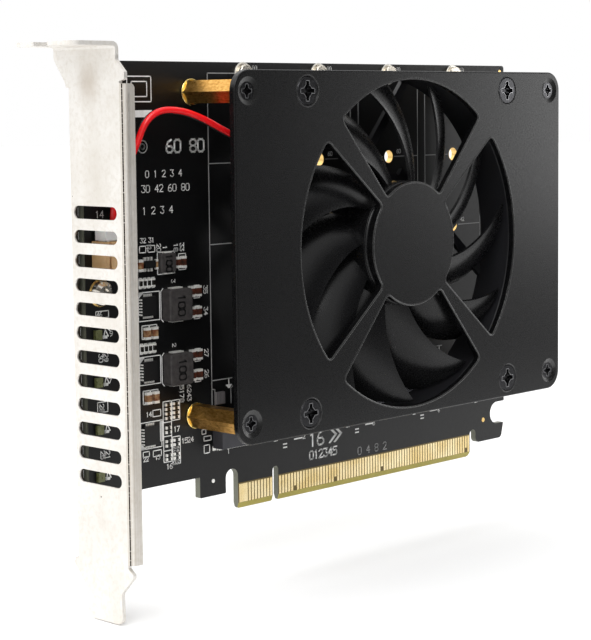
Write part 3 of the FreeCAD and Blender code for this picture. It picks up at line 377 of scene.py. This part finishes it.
part_lines = frames([
    (-35.6, -30.6, 55.3, 60.1),
    (-41.3, -35.2, 45.5, 51.7), (-41.3, -35.2, 31.6, 37.7), (-41.3, -35.2, 17.6, 23.4),
    (-34.7, -32.3, 13.9, 27.3), (-32.1, -29.8, 22.9, 27.3), (-32.1, -29.8, 13.1, 19.2),
    (-35.6, -34.9, 18.8, 23.5)])
for z in (41.6, 27.4):
    part_lines += frames([(-40.4, -38.4, z, z + 2.9), (-38.2, -36.1, z, z + 2.9)])
for z in (52.6, 38.4):
    for x in (-40.6, -39.4, -38.2, -37.0):
        part_lines += frames([(x - 0.42, x + 0.42, z, z + 2.2)])
for z in (44.7, 30.6):
    part_lines += [(-34.8, z + 0.8, -34.8, z + 6.8), (-34.8, z + 6.8, -34.2, z + 7.4)]
    part_lines.append((-34.8, z + 0.8, -34.2, z + 0.2))
    for low in (z, z + 4.6):
        part_lines += frames([(-25.0, -23.3, low, low + 2.8)])
part_lines += frames([(-40.7, -38.9, 15.9, 17.0), (-37.8, -35.4, 15.6, 16.9), (-37.7, -35.4, 24.4, 25.8),
                      (-40.7, -38.9, 60.3, 61.7), (-38.3, -36.3, 60.3, 61.7), (-22.6, -20.4, 17.0, 18.0),
                      (-22.6, -20.9, 14.2, 16.0), (-23.2, -22.0, 18.6, 19.6), (-29.4, -27.3, 55.9, 59.4),
                      (-53.2, -50.4, 27.2, 29.4), (-53.2, -49.7, 47.3, 48.7)])
for z in (22.7, 19.6, 16.4):
    part_lines.append((-34.5, z, -32.5, z))
piece("part_outlines", *bars(part_lines, 0.2), ink, "board_laminate")

numbers = []
for text, x, z, high, upright in (
        ("32", -40.4, 62.4, 1.0, True), ("31", -38.0, 62.4, 1.0, True), ("33", -38.6, 61.0, 0.8, True),
        ("20", -35.7, 61.9, 1.1, False), ("1", -33.9, 61.4, 1.1, False), ("18", -30.7, 61.7, 1.1, False),
        ("33", -28.9, 61.7, 1.1, False), ("3", -31.6, 53.9, 1.0, False), ("2", -31.6, 39.8, 1.0, False),
        ("35", -22.0, 51.8, 1.1, False), ("34", -22.0, 47.0, 1.1, False), ("27", -22.0, 37.6, 1.1, False),
        ("26", -22.0, 32.9, 1.1, False), ("14", -39.6, 24.6, 1.0, True), ("22", -40.6, 14.9, 0.9, True),
        ("13", -37.2, 14.9, 0.9, True), ("16", -33.9, 12.3, 1.1, True), ("17", -31.6, 20.3, 1.1, True),
        ("15", -29.3, 17.4, 1.1, True), ("24", -27.5, 17.4, 1.1, True), ("1", -15.4, 13.2, 1.1, True),
        ("2", 9.4, 13.2, 1.1, True), ("3", 34.2, 13.2, 1.1, True), ("4", 59.1, 13.2, 1.1, True),
        ("5178", -29.6, 30.2, 1.1, False), ("6243", -27.4, 30.2, 1.1, False),
        ("14", -52.7, 68.4, 1.4, True), ("30", -52.6, 39.6, 1.1, False), ("29", -51.2, 39.6, 1.1, False),
        ("28", -52.6, 28.9, 1.1, False), ("25", -52.6, 18.9, 1.1, False), ("21", -51.2, 18.7, 1.1, False),
        ("9", -49.4, 43.2, 1.0, True), ("7", -49.9, 33.2, 1.0, True), ("46", -52.9, 47.6, 0.9, True),
        ("1 2 3 4", -39.6, 68.5, 1.5, True), ("30 42 60 80", -39.8, 73.2, 1.5, True),
        ("0 1 2 3 4", -38.6, 76.4, 1.4, True)):
    numbers += figures(text, x, z, high, upright)
for x, column in ((-32.0, ("61", "62", "63")), (-30.9, ("64", "65", "66"))):
    for row, text in enumerate(column):
        numbers += figures(text, x, 16.9 - 1.4 * row, 0.7, False)
for x in LANE_X:
    numbers += figures("80", x + 3.1, 99.6, 0.9) + figures("60", x + 3.1, 79.6, 0.9)
    numbers += figures("42", x + 3.1, 61.6, 0.9) + figures("30", x + 3.1, 49.6, 0.9)
    numbers += figures("27", x + 8.6, 13.9, 1.0)
piece("part_numbers", *bars(numbers, 0.17), ink, "board_laminate")

# ---------------------------------------------------------------- board's left edge
# The router leaves a dull fringe of glass fibres and resin, which stands out from the board as
# far as the bracket's rear return.
FRINGE_X = -56.02
routed_edge = surface("routed_glass_laminate_edge", CUT_EDGE, 0.7)
grain(routed_edge, 0.3, 0.01, (0.6, 0.8))
fringe = [(FRINGE_X, 10.0, FRINGE_X, 100.0)]
piece("edge_fibres", *bars(fringe, 0.23, 0.3, 1.5), routed_edge, "board_laminate")

# ---------------------------------------------------------------- large legend marks
# The same ink in wider strokes: lane and slot numbers, short bars, a blank label bar, a square
# and a ring target, arrows into the sockets, corner marks of the flat chips and lamp marks.
bold = figures("60 80", -32.4, 81.6, 2.7) + figures("16", 11.6, 11.0, 3.2)
piece("large_numbers", *bars(bold, 0.42), ink, "board_laminate")
bold = figures("012345", 11.6, 7.9, 1.9)
for x, z in ((3.3, 12.8), (28.4, 13.0), (53.0, 13.3)):
    bold += [(x - 0.5, z, x + 0.5, z), (x - 0.5, z - 0.8, x + 0.5, z - 0.8)]
    bold.append((x + 3.2, z + 0.7, x + 5.8, z + 0.7))
piece("medium_numbers", *bars(bold, 0.34), ink, "board_laminate")
piece("faint_numbers", *bars(figures("0 4 8 2", 28.7, 6.6, 1.8), 0.22), thin_and_shaded_ink, "board_laminate")

piece("label_bar", *bars([(-46.0, 90.05, -37.2, 90.05)], 1.5), ink, "board_laminate")
wedges = frames([(-43.4, -36.6, 92.6, 98.0), (-42.2, -37.8, 93.7, 96.9)])
turn = np.linspace(0, 2 * math.pi, 24, endpoint=False)
for radius in (1.3, 0.6):
    ring = np.c_[-39.3 + radius * np.cos(turn), 83.0 + radius * np.sin(turn)]
    wedges += np.c_[ring, np.roll(ring, -1, 0)].tolist()
for back_x in (18.4, 20.2):
    for k in range(3):
        wedges += [(back_x + 0.25 * k, 14.6, back_x + 2.2 + 0.25 * k, 12.8)]
        wedges += [(back_x + 0.25 * k, 11.0, back_x + 2.2 + 0.25 * k, 12.8)]
for left in LANE_LEFT:
    x = left + 5.3
    wedges.append((x, 28.9, x, 30.2))
    wedges += [(x - step, 28.0 + step, x + step, 28.0 + step) for step in (0.2, 0.4, 0.6, 0.8)]
for z, step in ((51.6, -0.18), (37.5, -0.18), (17.7, 0.18)):
    wedges += [(-41.2, z + step * k, -40.0 - 0.2 * k, z + step * k) for k in range(6)]
for z in (43.8, 33.7, 23.6, 13.5):
    wedges += [(-51.3, z - 0.8 + 0.2 * k, -50.3 + 0.05 * k, z - 0.9 + 0.2 * k) for k in range(3)]
    wedges += [(-51.2, z - 0.9, -50.7, z + 0.9), (-50.7, z + 0.9, -49.9, z - 0.5)]
    wedges.append((-49.8, z + 0.9, -49.2, z + 0.4))
piece("arrow_marks", *bars(wedges, 0.24), ink, "board_laminate")

# ---------------------------------------------------------------- drive sockets
# Moulded liquid-crystal polymer, charcoal grey with a matt skin, on two solder tabs each, with
# rows of tinned tails soldered to the board.
liquid_polymer = surface("moulded_socket_polymer", "#3A3A40", 0.5)
grain(liquid_polymer, 0.4, 0.008, (0.42, 0.58))
feed(liquid_polymer, Base_Color=clouds(liquid_polymer, 5, "#36363C", "#424248"))
for number in range(1, 5):
    paint("m2_socket_%d" % number, liquid_polymer)
paint("m2_socket_tails", tin)
TAB_STEP, TAB_LOW, TAB_HIGH = 10.56, 14.95, 14.96
ROW_STEPS, ROW_LOW, ROW_HIGH = np.arange(-9.65, 9.7, 0.5), 14.5, 15.0
lands = [(x + step, TAB_LOW, x + step, TAB_HIGH) for x in LANE_X for step in (-TAB_STEP, TAB_STEP)]
piece("socket_tab_lands", *bars(lands, 1.05, -0.06, SUNK), tin, "tinned_metal")
lands = [(x + step, ROW_LOW, x + step, ROW_HIGH) for x in LANE_X for step in ROW_STEPS]
piece("socket_row_lands", *bars(lands, 0.3, -0.06, SUNK), tin, "tinned_metal")

# ---------------------------------------------------------------- drive posts
# Tapped brass posts, turned and then plated with bright tin, reflowed into the 80 mm holes. The
# tin is smoother here than on a soldered joint, so the posts glint.
post_metal = surface("tinned_brass_posts", "#E4DDD0", 0.26, 1.0)
grain(post_metal, 0.4, 0.006, (0.2, 0.34))
paint("m2_posts", post_metal)

# ---------------------------------------------------------------- power parts
# Moulded iron-powder chokes: pressed grey composite with a sandy skin, tinned end strips and a
# black stamped value. Beside them flat regulators and a six-lead chip in dull black epoxy.
powder = surface("pressed_iron_powder", "#3A3736", 0.66, Specular_IOR_Level=0.35)
grain(powder, 0.35, 0.02, (0.58, 0.74))
feed(powder, Base_Color=clouds(powder, 1.2, "#353232", "#413E3D"))
chip_epoxy = surface("moulded_chip_epoxy", "#101011", 0.5, Specular_IOR_Level=0.4)
grain(chip_epoxy, 0.3, 0.008, (0.42, 0.58))
for name in ("choke_upper", "choke_lower", "choke_small"):
    paint(name, powder)
for name in ("regulators", "controller"):
    paint(name, chip_epoxy)

# the lane switches have a ground grey top with fine parallel lines, drawn 0.42 mm apart to show
ground = surface("ground_grey_chip_top", "#545152", 0.5)
grain(ground, 0.3, 0.008, (0.42, 0.58))
STRIPE = 0.42
place = node(ground, "TexCoord").outputs["Object"]
stripes = node(ground, "TexWave", {"Vector": place, "Scale": 0.314 / (STRIPE * MM)}, bands_direction="X")
stripes = node(ground, "Mix", {SHARE: stripes.outputs["Fac"], FIRST: linear("#3E3B3C"),
                               SECOND: linear("#7A7677")}, data_type="RGBA")
feed(ground, Base_Color=stripes.outputs[RESULT])
paint("lane_switches", ground)
for name in ("choke_terminals", "controller_leads", "chip_ends", "header_pins"):
    paint(name, tin)


def corners(name):
    """A node's lowest and highest corners, in mm."""
    return [np.array(corner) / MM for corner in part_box(name)]


# stamping ink soaks into the pressed powder, so the value is black and dull
value_ink = surface("black_stamping_ink", "#0A0A0A", 0.55)
grain(value_ink, 0.3, 0.006, (0.48, 0.62))
for name, wide in (("choke_upper", 1.9), ("choke_lower", 1.9), ("choke_small", 1.6)):
    low, high = corners(name)
    start = (low[2] + high[2]) / 2 + (2 * DIGIT_STEP + 0.6) * wide / 2
    value = figures("100", (low[0] + high[0]) / 2 - wide / 2, start, wide, False)
    piece(name + "_value", *bars(value, 0.34, low[1] - 0.02, low[1] + 0.03), value_ink, "choke_body")

# lands of the regulators' leadless pads, in a ring round each chip
REGULATOR_Z = (48.7, 34.6, 20.5)
lands, flanks = [], []
for z in REGULATOR_Z:
    flanks += [(-40.95, z + step, -40.85, z + step) for step in np.arange(-1.75, 1.8, 0.65)]
    lands += [(-39.7 + step, z + 2.2, -39.7 + step, z + 2.5) for step in np.arange(0, 2.4, 0.5)]
    lands += [(-39.9 + step, z - 2.5, -39.9 + step, z - 2.2) for step in np.arange(0, 2.9, 0.5)]
piece("regulator_lands", *bars(lands, 0.3, -0.2, SUNK), tin, "tinned_metal")
piece("regulator_flanks", *bars(flanks, 0.3, -0.75, SUNK), tin, "tinned_metal")

# ---------------------------------------------------------------- small parts
# Ceramic capacitors in fired tan to reddish-brown, chip resistors with a black glazed top,
# and olive-lensed status lamps in clear epoxy.
ceramic = surface("fired_capacitor_ceramic", "#7A5638", 0.45)
grain(ceramic, 0.5, 0.01, (0.38, 0.52))
RED_ROWS_X = -33.5
place = node(ceramic, "SeparateXYZ", {"Vector": node(ceramic, "TexCoord").outputs["Object"]})
red_rows = node(ceramic, "Math", {0: place.outputs["X"], 1: RED_ROWS_X * MM}, operation="GREATER_THAN")
fired = node(ceramic, "Mix", {SHARE: red_rows.outputs[0],
                              FIRST: clouds(ceramic, 1.1, "#A58862", "#6E3B22", 0.35, 0.62),
                              SECOND: clouds(ceramic, 1.0, "#5E2C1A", "#2E2019")}, data_type="RGBA")
feed(ceramic, Base_Color=fired.outputs[RESULT])
paint("capacitors", ceramic)
glaze = surface("resistor_glaze", "#17150F", 0.3)
grain(glaze, 0.3, 0.006, (0.24, 0.36))
paint("resistors", glaze)
lens = surface("olive_lamp_epoxy", "#7C8050", 0.3, Transmission_Weight=0.25, IOR=1.5)
grain(lens, 0.6, 0.01, (0.24, 0.36))
feed(lens, Base_Color=clouds(lens, 1.2, "#868A5A", "#6C7044"))
paint("status_lights", lens)

# ---------------------------------------------------------------- fan header and plug
# Moulded nylon: a header left in its natural beige, soldered to the board, and the white plug
# housing pushed into it. Nylon lets a little light in, so its edges look soft.
header_nylon = surface("natural_beige_nylon", "#D9B384", 0.36, Subsurface_Weight=0.1,
                       Subsurface_Scale=0.0006)
grain(header_nylon, 0.6, 0.008, (0.3, 0.44))
feed(header_nylon, Base_Color=clouds(header_nylon, 3, "#DFB989", "#C79D6C"))
paint("fan_header", header_nylon)
plug_nylon = surface("white_nylon", "#F1EFEC", 0.45, Subsurface_Weight=0.1, Subsurface_Scale=0.0006)
grain(plug_nylon, 0.6, 0.008, (0.4, 0.52))
feed(plug_nylon, Base_Color=clouds(plug_nylon, 3, "#F3F1EF", "#E9E5E2"))
paint("fan_plug", plug_nylon)

# ---------------------------------------------------------------- fan frame
# Black glass-filled polyester moulding: square frame, round bore, base and arms in one piece.
# The fibres come up to the skin, which makes it a satin dark grey.
frame_plastic = surface("black_glass_filled_polyester", "#17171A", 0.38, Specular_IOR_Level=0.5)
grain(frame_plastic, 0.4, 0.003, (0.33, 0.43))
feed(frame_plastic, Base_Color=clouds(frame_plastic, 12, "#161618", "#1B1B1E"))
paint("fan_frame", frame_plastic)

# ---------------------------------------------------------------- stator and rotor
# Inside the hub: turned yoke, ferrite ring, laminated core, copper coils on a small board.
# The impeller round it is one black polyester moulding with a satin skin.
impeller = surface("black_moulded_impeller", "#161617", 0.27, Specular_IOR_Level=0.29)
grain(impeller, 0.35, 0.0003, (0.23, 0.31))
feed(impeller, Base_Color=clouds(impeller, 14, "#0D0D0E", "#121213"))
paint("fan_rotor", impeller)


def tube(path, radius, sides=10):
    """A closed tube: circles of a radius set square to the path, which lies in a plane y = constant."""
    path = np.asarray(path, float)
    run = np.roll(path, -1, 0) - np.roll(path, 1, 0)
    run /= np.linalg.norm(run, axis=1, keepdims=True)
    aside = np.c_[run[:, 2], np.zeros(len(run)), -run[:, 0]]
    angle = np.linspace(0, 2 * math.pi, sides, endpoint=False)[:, None]
    deep = np.array((0.0, 1.0, 0.0))
    points = path[:, None] + radius * (np.cos(angle) * aside[:, None] + np.sin(angle) * deep)
    index = np.arange(len(path) * sides).reshape(len(path), sides)
    ahead = np.roll(index, -1, 0)
    faces = np.stack([index, np.roll(index, -1, 1), np.roll(ahead, -1, 1), ahead], -1)
    return points.reshape(-1, 3), faces.reshape(-1, 4).tolist()


def circle(x, y, z, radius, count=64):
    """Points of a circle in a plane y = constant."""
    turn = np.linspace(0, 2 * math.pi, count, endpoint=False)
    return np.c_[x + radius * np.cos(turn), np.full(count, y), z + radius * np.sin(turn)]


def together(parts):
    """Several (points, faces) pairs as one pair."""
    shifts = np.cumsum([0] + [len(points) for points, faces in parts[:-1]])
    faces = [(np.array(faces) + shift).tolist() for (points, faces), shift in zip(parts, shifts)]
    return np.concatenate([points for points, faces in parts]), sum(faces, [])


# the moulding's rim is rounded where the hub's face turns into its wall
HUB_R, RIM = 14.8, 0.7
low, high = corners("fan_rotor")
fan_x, fan_z = (low[0] + high[0]) / 2, (low[2] + high[2]) / 2
rim_line = circle(fan_x, low[1] + RIM, fan_z, HUB_R - RIM, 96)
piece("hub_rim", *tube(rim_line, RIM), impeller, "rotor_plastic", "rotor", smooth=True)

# the motor's own metals, ferrite and board, each with its name, colour, roughness and metallic
inner_finishes = {
    "rotor_yoke": ("zinc_plated_yoke", "#9A9A98", 0.4, 1.0),
    "rotor_magnet": ("sintered_ferrite", "#2C2B2A", 0.6, 0.0),
    "rotor_shaft": ("ground_steel_shaft", "#C8C8C6", 0.2, 1.0),
    "fan_bearing": ("sintered_bronze", "#8A6A3C", 0.5, 1.0),
    "stator_core": ("silicon_steel_laminations", "#7C7E80", 0.45, 1.0),
    "stator_coils": ("enamelled_copper_wire", "#A85A2C", 0.35, 1.0),
    "fan_circuit_board": ("green_fan_board", "#1F5A34", 0.45, 0.0),
}
for name, finish in inner_finishes.items():
    made = surface(*finish)
    grain(made, 0.4, 0.01, (finish[2] - 0.08, finish[2] + 0.08))
    paint(name, made)

# ---------------------------------------------------------------- fan leads
# Two limp stranded leads in smooth PVC, 1.4 mm, from the plug up and over to the fan frame's
# cable notch. Each is one smooth curve through the run of its route.
LEAD_DIA = 1.4
RED_LEAD = [
    (-49.95, -2.4, 67.8), (-49.8, -2.5, 73.1), (-47.1, -3.0, 78.2), (-44.4, -3.8, 83.1),
    (-42.8, -4.7, 88.2), (-39.5, -5.7, 90.9), (-34.0, -6.8, 90.7), (-28.6, -7.9, 88.9),
    (-23.3, -8.9, 86.1), (-17.2, -9.7, 83.7), (-11.0, -9.9, 82.7)]
BLACK_LEAD = [
    (-47.95, -2.4, 67.8), (-47.9, -2.3, 73.1), (-45.6, -2.1, 78.0), (-43.4, -2.3, 83.0),
    (-41.8, -3.2, 88.3), (-38.4, -4.3, 90.9), (-32.7, -5.6, 90.4), (-27.2, -6.6, 88.5),
    (-21.9, -7.6, 85.7), (-15.8, -8.3, 83.3), (-11.0, -8.2, 82.5)]


def lead(name, route, material, solid):
    """A cord of a length in mm along a NURBS spline of order 3, whose control points are the route."""
    curve = bpy.data.curves.new(name, "CURVE")
    curve.dimensions = "3D"
    curve.bevel_depth = LEAD_DIA / 2 * MM
    curve.bevel_resolution = 6
    curve.use_fill_caps = True
    spline = curve.splines.new("NURBS")
    spline.points.add(len(route) - 1)
    spline.points.foreach_set("co", np.c_[np.array(route) * MM, np.ones(len(route))].ravel())
    spline.order_u = 3
    spline.use_endpoint_u = True
    spline.resolution_u = 10
    curve.materials.append(material)
    made = bpy.data.objects.new(name, curve)
    bpy.context.scene.collection.objects.link(made)
    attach(made, "card")
    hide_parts(solid)


# extruded PVC is smooth and slightly translucent, so the red one keeps a long soft highlight
red_pvc = surface("red_pvc_insulation", "#FF1E24", 0.2, Subsurface_Weight=0.15, Subsurface_Scale=0.0004)
grain(red_pvc, 1.5, 0.002, (0.16, 0.24))
feed(red_pvc, Base_Color=clouds(red_pvc, 5, "#FF2026", "#F2181E"))

# carbon black makes the other opaque and a little duller
black_pvc = surface("black_pvc_insulation", "#161617", 0.38)
grain(black_pvc, 1.5, 0.002, (0.3, 0.4))
lead("fan_lead_red", RED_LEAD, red_pvc, "red_lead")
lead("fan_lead_black", BLACK_LEAD, black_pvc, "black_lead")

# ---------------------------------------------------------------- standoffs
# Drawn hexagonal brass bar, 5 mm across flats, cut and tapped: bright, with fine drawing lines
# along its length and tarnished a little in patches. Its end on the board is painted pale, a painted
# highlight.
PALE_HIGHLIGHT_BRASS = "#FFDF8C"
brass = surface("drawn_brass_bar", "#D6AC68", 0.34, 1.0)
grain(brass, 0.3, 0.009, (0.26, 0.42), stretch=(1, 0.5, 1), detail=4.0)
bar = clouds(brass, 0.5, "#D6A65C", "#A87832", 0.35, 0.7, stretch=(1, 0.5, 1))
place = node(brass, "SeparateXYZ", {"Vector": node(brass, "TexCoord").outputs["Object"]})
# painted highlight: the end on the board is painted pale brass
painted_end_highlight = zone(brass, (place.outputs["Y"], -0.95, 0.1))
bar = node(brass, "Mix", {SHARE: painted_end_highlight, FIRST: bar, SECOND: linear(PALE_HIGHLIGHT_BRASS)}, data_type="RGBA")
feed(brass, Base_Color=bar.outputs[RESULT])
for number in range(1, 5):
    paint("standoff_%d" % number, brass)

# the cut-off end is turned to a small collar where it bears on the board, painted pale brass as a painted
# highlight
COLLAR_R, COLLAR_BEAD = 2.72, 0.24
collar_painted_highlight = surface("pale_brass_collar_painted_highlight", PALE_HIGHLIGHT_BRASS, 0.22, 1.0)
grain(collar_painted_highlight, 0.4, 0.003, (0.16, 0.28))
collars = []
for number in range(1, 5):
    low, high = corners("standoff_%d" % number)
    line = circle((low[0] + high[0]) / 2, high[1] - 0.25, (low[2] + high[2]) / 2, COLLAR_R, 36)
    collars.append(tube(line, COLLAR_BEAD))
piece("standoff_collars", *together(collars), collar_painted_highlight, "standoff_brass", smooth=True)

# ---------------------------------------------------------------- fan plate and its screws
# 1.5 mm sheet, laser-cut and countersunk, in black fine-texture powder coat: a close grain that
# spreads the light evenly. The screws are black oxide steel with a light oil sheen.
coat = surface("black_fine_texture_powder_coat", "#080809", 0.27, Specular_IOR_Level=0.28)
grain(coat, 0.22, 0.0035, (0.23, 0.31), detail=2.0)
feed(coat, Base_Color=clouds(coat, 22, "#080809", "#0C0C0D"))
paint("fan_plate", coat)

# powder coat draws up into a soft bead along every laser-cut edge, smoother than the flat; the bead is
# painted lighter, a painted highlight
GRILLE_IN, GRILLE_OUT, GRILLE_HALF, CORNER = 14.6, 38.4, math.radians(40), 1.2
BEAD, SINK = 0.3, 0.2
FAN_HEAD, PLATE_HEAD, MOUTH, MOUTH_BEAD = 3.17, 2.45, 3.52, 0.16
plate_front = corners("fan_plate")[0][1]


def sector(middle, grow):
    """A grille opening's outline grown by so many mm and turned to an angle: two arcs round the fan's
    axis, joined by two radial edges with rounded corners; one half is worked out and mirrored."""
    out_turn = GRILLE_HALF - math.asin(CORNER / (GRILLE_OUT - CORNER))
    in_turn = GRILLE_HALF - math.asin(CORNER / (GRILLE_IN + CORNER))

    def arc(radius, first, last, count, centre=(0.0, 0.0)):
        turn = np.linspace(first, last, count)
        return np.c_[centre[0] + radius * np.cos(turn), centre[1] + radius * np.sin(turn)]

    edge = GRILLE_HALF + math.pi / 2
    out_centre = arc(GRILLE_OUT - CORNER, out_turn, out_turn, 1)[0]
    in_centre = arc(GRILLE_IN + CORNER, in_turn, in_turn, 1)[0]
    half = np.concatenate([arc(GRILLE_OUT + grow, 0, out_turn, 24),
                           arc(CORNER + grow, out_turn, edge, 7, out_centre)[1:],
                           arc(CORNER + grow, edge, math.pi + in_turn, 7, in_centre),
                           arc(GRILLE_IN - grow, in_turn, 0, 12)[1:]])
    flat = np.concatenate([half, (half * (1, -1))[-2:0:-1]])
    x = flat[:, 0] * math.cos(middle) - flat[:, 1] * math.sin(middle)
    z = flat[:, 0] * math.sin(middle) + flat[:, 1] * math.cos(middle)
    return np.c_[fan_x + x, np.full(len(flat), plate_front + SINK), fan_z + z]


def screw_places(name, head):
    """The axes (x, z) of four screws, a head's radius inside their node's box."""
    low, high = corners(name)
    return [(x, z) for x in (low[0] + head, high[0] - head) for z in (low[2] + head, high[2] - head)]


beads = [tube(sector(quarter * math.pi / 2, SINK), BEAD) for quarter in range(4)]
fan_screws = screw_places("fan_screws", FAN_HEAD)
plate_screws = screw_places("plate_screws", PLATE_HEAD)
beads += [tube(circle(x, plate_front + 0.1, z, MOUTH, 40), MOUTH_BEAD, 8) for x, z in fan_screws]
# the coat on the beads and flanks is painted lighter than the flat, a painted highlight
coat_edge_highlight = surface("black_powder_coat_painted_highlight_edge", "#161616", 0.26, Specular_IOR_Level=0.7)
grain(coat_edge_highlight, 0.5, 0.003, (0.2, 0.3))
piece("coat_beads", *together(beads), coat_edge_highlight, "plate_coating", smooth=True)


def turned(x, z, profile, count=48):
    """A ring turned from a closed profile of (radius, y) corners round an axis along y."""
    profile = np.array(profile)
    turn = np.linspace(0, 2 * math.pi, count, endpoint=False)[:, None]
    deep = np.broadcast_to(profile[:, 1], (count, len(profile)))
    points = np.stack([x + profile[:, 0] * np.cos(turn), deep, z + profile[:, 0] * np.sin(turn)], -1)
    index = np.arange(count * len(profile)).reshape(count, len(profile))
    ahead = np.roll(index, -1, 0)
    faces = np.stack([index, np.roll(index, -1, 1), np.roll(ahead, -1, 1), ahead], -1)
    return points.reshape(-1, 3), faces.reshape(-1, 4).tolist()


# and it gathers on the wide flanks round the sunk corner screws, painted lighter there too as a painted
# highlight
FLANK = ((3.12, plate_front + 0.01), (2.6, plate_front + 0.5), (2.02, plate_front + 0.47))
flanks = [turned(x, z, FLANK) for x, z in plate_screws]
piece("countersink_coats", *together(flanks), coat_edge_highlight, "plate_coating")

# the recesses' edges are painted as bare grey steel, a painted highlight round each cross
recess_edge_highlight = surface("recess_edge_painted_highlight", "#A2A2A4", 0.3, 1.0)
grain(recess_edge_highlight, 0.4, 0.004, (0.24, 0.36))


def recess(x, z, reach, half):
    """The outline of a cross recess: four arms of a half width, flared where they meet."""
    arm = np.array([(0.6 * reach, -half), (reach, -half), (reach, half), (0.6 * reach, half),
                    (0.42 * reach, 0.42 * reach)])
    turns = np.arange(4)[:, None] * math.pi / 2
    points = np.c_[(x + arm[:, 0] * np.cos(turns) - arm[:, 1] * np.sin(turns)).ravel(),
                   (z + arm[:, 0] * np.sin(turns) + arm[:, 1] * np.cos(turns)).ravel()]
    return np.c_[points, np.roll(points, -1, 0)].tolist()


lines = [line for x, z in fan_screws for line in recess(x, z, 2.25, 0.55)]
piece("fan_screw_edges", *bars(lines, 0.13, plate_front - 0.01, plate_front + 0.05), recess_edge_highlight, "black_screw")
lines = [line for x, z in plate_screws for line in recess(x, z, 1.5, 0.42)]
piece("plate_screw_edges", *bars(lines, 0.1, plate_front + 0.46, plate_front + 0.52), recess_edge_highlight, "black_screw")
oxide = surface("black_oxide_steel", "#3C3C3E", 0.22, 1.0)
grain(oxide, 0.4, 0.006, (0.16, 0.3))
for name in ("plate_screws", "standoff_screws", "fan_screws"):
    paint(name, oxide)

# ---------------------------------------------------------------- floor, light and camera
# Pale paper floor, painted darker some way in front of the card as painted shade, for the plate to
# reflect; and a white studio with one dim quarter at the right front. A soft key stands at the upper
# left, a small lamp at the right and a broad soft sun overhead.
FLOOR_Z, FLOOR_HALF = -15.6, 4000.0
DIM_WAY = (0.48, -0.877, 0.0)
CAMERA_PLACE = (-0.30574, -0.3016, 0.09101)
TURN, DIP, TILT = (math.radians(a) for a in (46.206, 5.111, -0.613))
LENS, SENSOR = 105.264, 36.0

paper = surface("pale_paper_painted_front_shade", "#FAFAFA", 0.9, Specular_IOR_Level=0.1)
grain(paper, 2.0, 0.01)
# painted shade: the floor's colour darkens towards the front of the card
depth = node(paper, "SeparateXYZ", {"Vector": node(paper, "TexCoord").outputs["Object"]})
shade = node(paper, "MapRange", {"Value": depth.outputs["Y"], "From Min": -0.11, "From Max": -0.2})
shade = node(paper, "Mix", {SHARE: shade.outputs[0], FIRST: linear("#FAFAFA"), SECOND: linear("#5E5E5E")},
             data_type="RGBA")
feed(paper, Base_Color=shade.outputs[RESULT])
corner = np.array([(-1, -1), (1, -1), (1, 1), (-1, 1)]) * FLOOR_HALF
floor_mesh = bpy.data.meshes.new("floor")
floor_mesh.from_pydata((np.c_[corner, np.full(4, FLOOR_Z)] * MM).tolist(), [], [(0, 1, 2, 3)])
floor_mesh.materials.append(paper)
floor = bpy.data.objects.new("floor", floor_mesh)
bpy.context.scene.collection.objects.link(floor)

studio = bpy.data.worlds.new("studio")
studio.use_nodes = True
bpy.context.scene.world = studio
way = node(studio, "TexCoord").outputs["Generated"]
facing = node(studio, "VectorMath", {0: way, 1: DIM_WAY}, operation="DOT_PRODUCT")
level = node(studio, "MapRange", {"Value": facing.outputs["Value"], "From Min": 0.9, "From Max": 0.6,
                                  "To Min": 0.05, "To Max": 1.0}, interpolation_type="SMOOTHSTEP")
background = studio.node_tree.nodes["Background"]
background.inputs["Color"].default_value = (1, 1, 1, 1)
studio.node_tree.links.new(level.outputs[0], background.inputs["Strength"])


def soft_light(name, place, aim, size, power):
    """A square area lamp at a place in mm, facing the point aim."""
    data = bpy.data.lights.new(name, "AREA")
    data.size = size * MM
    data.energy = power
    lamp = bpy.data.objects.new(name, data)
    bpy.context.scene.collection.objects.link(lamp)
    lamp.location = Vector(place) * MM
    lamp.rotation_euler = (Vector(aim) - Vector(place)).to_track_quat("-Z", "Y").to_euler()


soft_light("key", (-700, -500, 900), (15, -5, 55), 700, 7)
soft_light("side", (1110, -600, 100), (60, -18, 60), 350, 2.0)
sun_data = bpy.data.lights.new("overhead", "SUN")
sun_data.energy = 1.1
sun_data.angle = math.radians(80)
sun = bpy.data.objects.new("overhead", sun_data)
sun.rotation_euler = (math.radians(-28), math.radians(-12), 0)
bpy.context.scene.collection.objects.link(sun)

look = Vector((math.sin(TURN) * math.cos(DIP), math.cos(TURN) * math.cos(DIP), -math.sin(DIP)))
across = Vector((math.cos(TURN), -math.sin(TURN), 0))
over = across.cross(look)
right = math.cos(TILT) * across + math.sin(TILT) * over
up = math.cos(TILT) * over - math.sin(TILT) * across
lens_data = bpy.data.cameras.new("camera")
lens_data.sensor_width = SENSOR
lens_data.lens = LENS
lens_data.shift_x = -0.0064
lens_data.shift_y = -0.0705
lens_data.clip_start = 0.01
camera = bpy.data.objects.new("camera", lens_data)
camera.matrix_world = Matrix.Translation(CAMERA_PLACE) @ Matrix((right, up, -look)).transposed().to_4x4()
bpy.context.scene.collection.objects.link(camera)
bpy.context.scene.camera = camera
bpy.context.scene.view_settings.view_transform = "Standard"
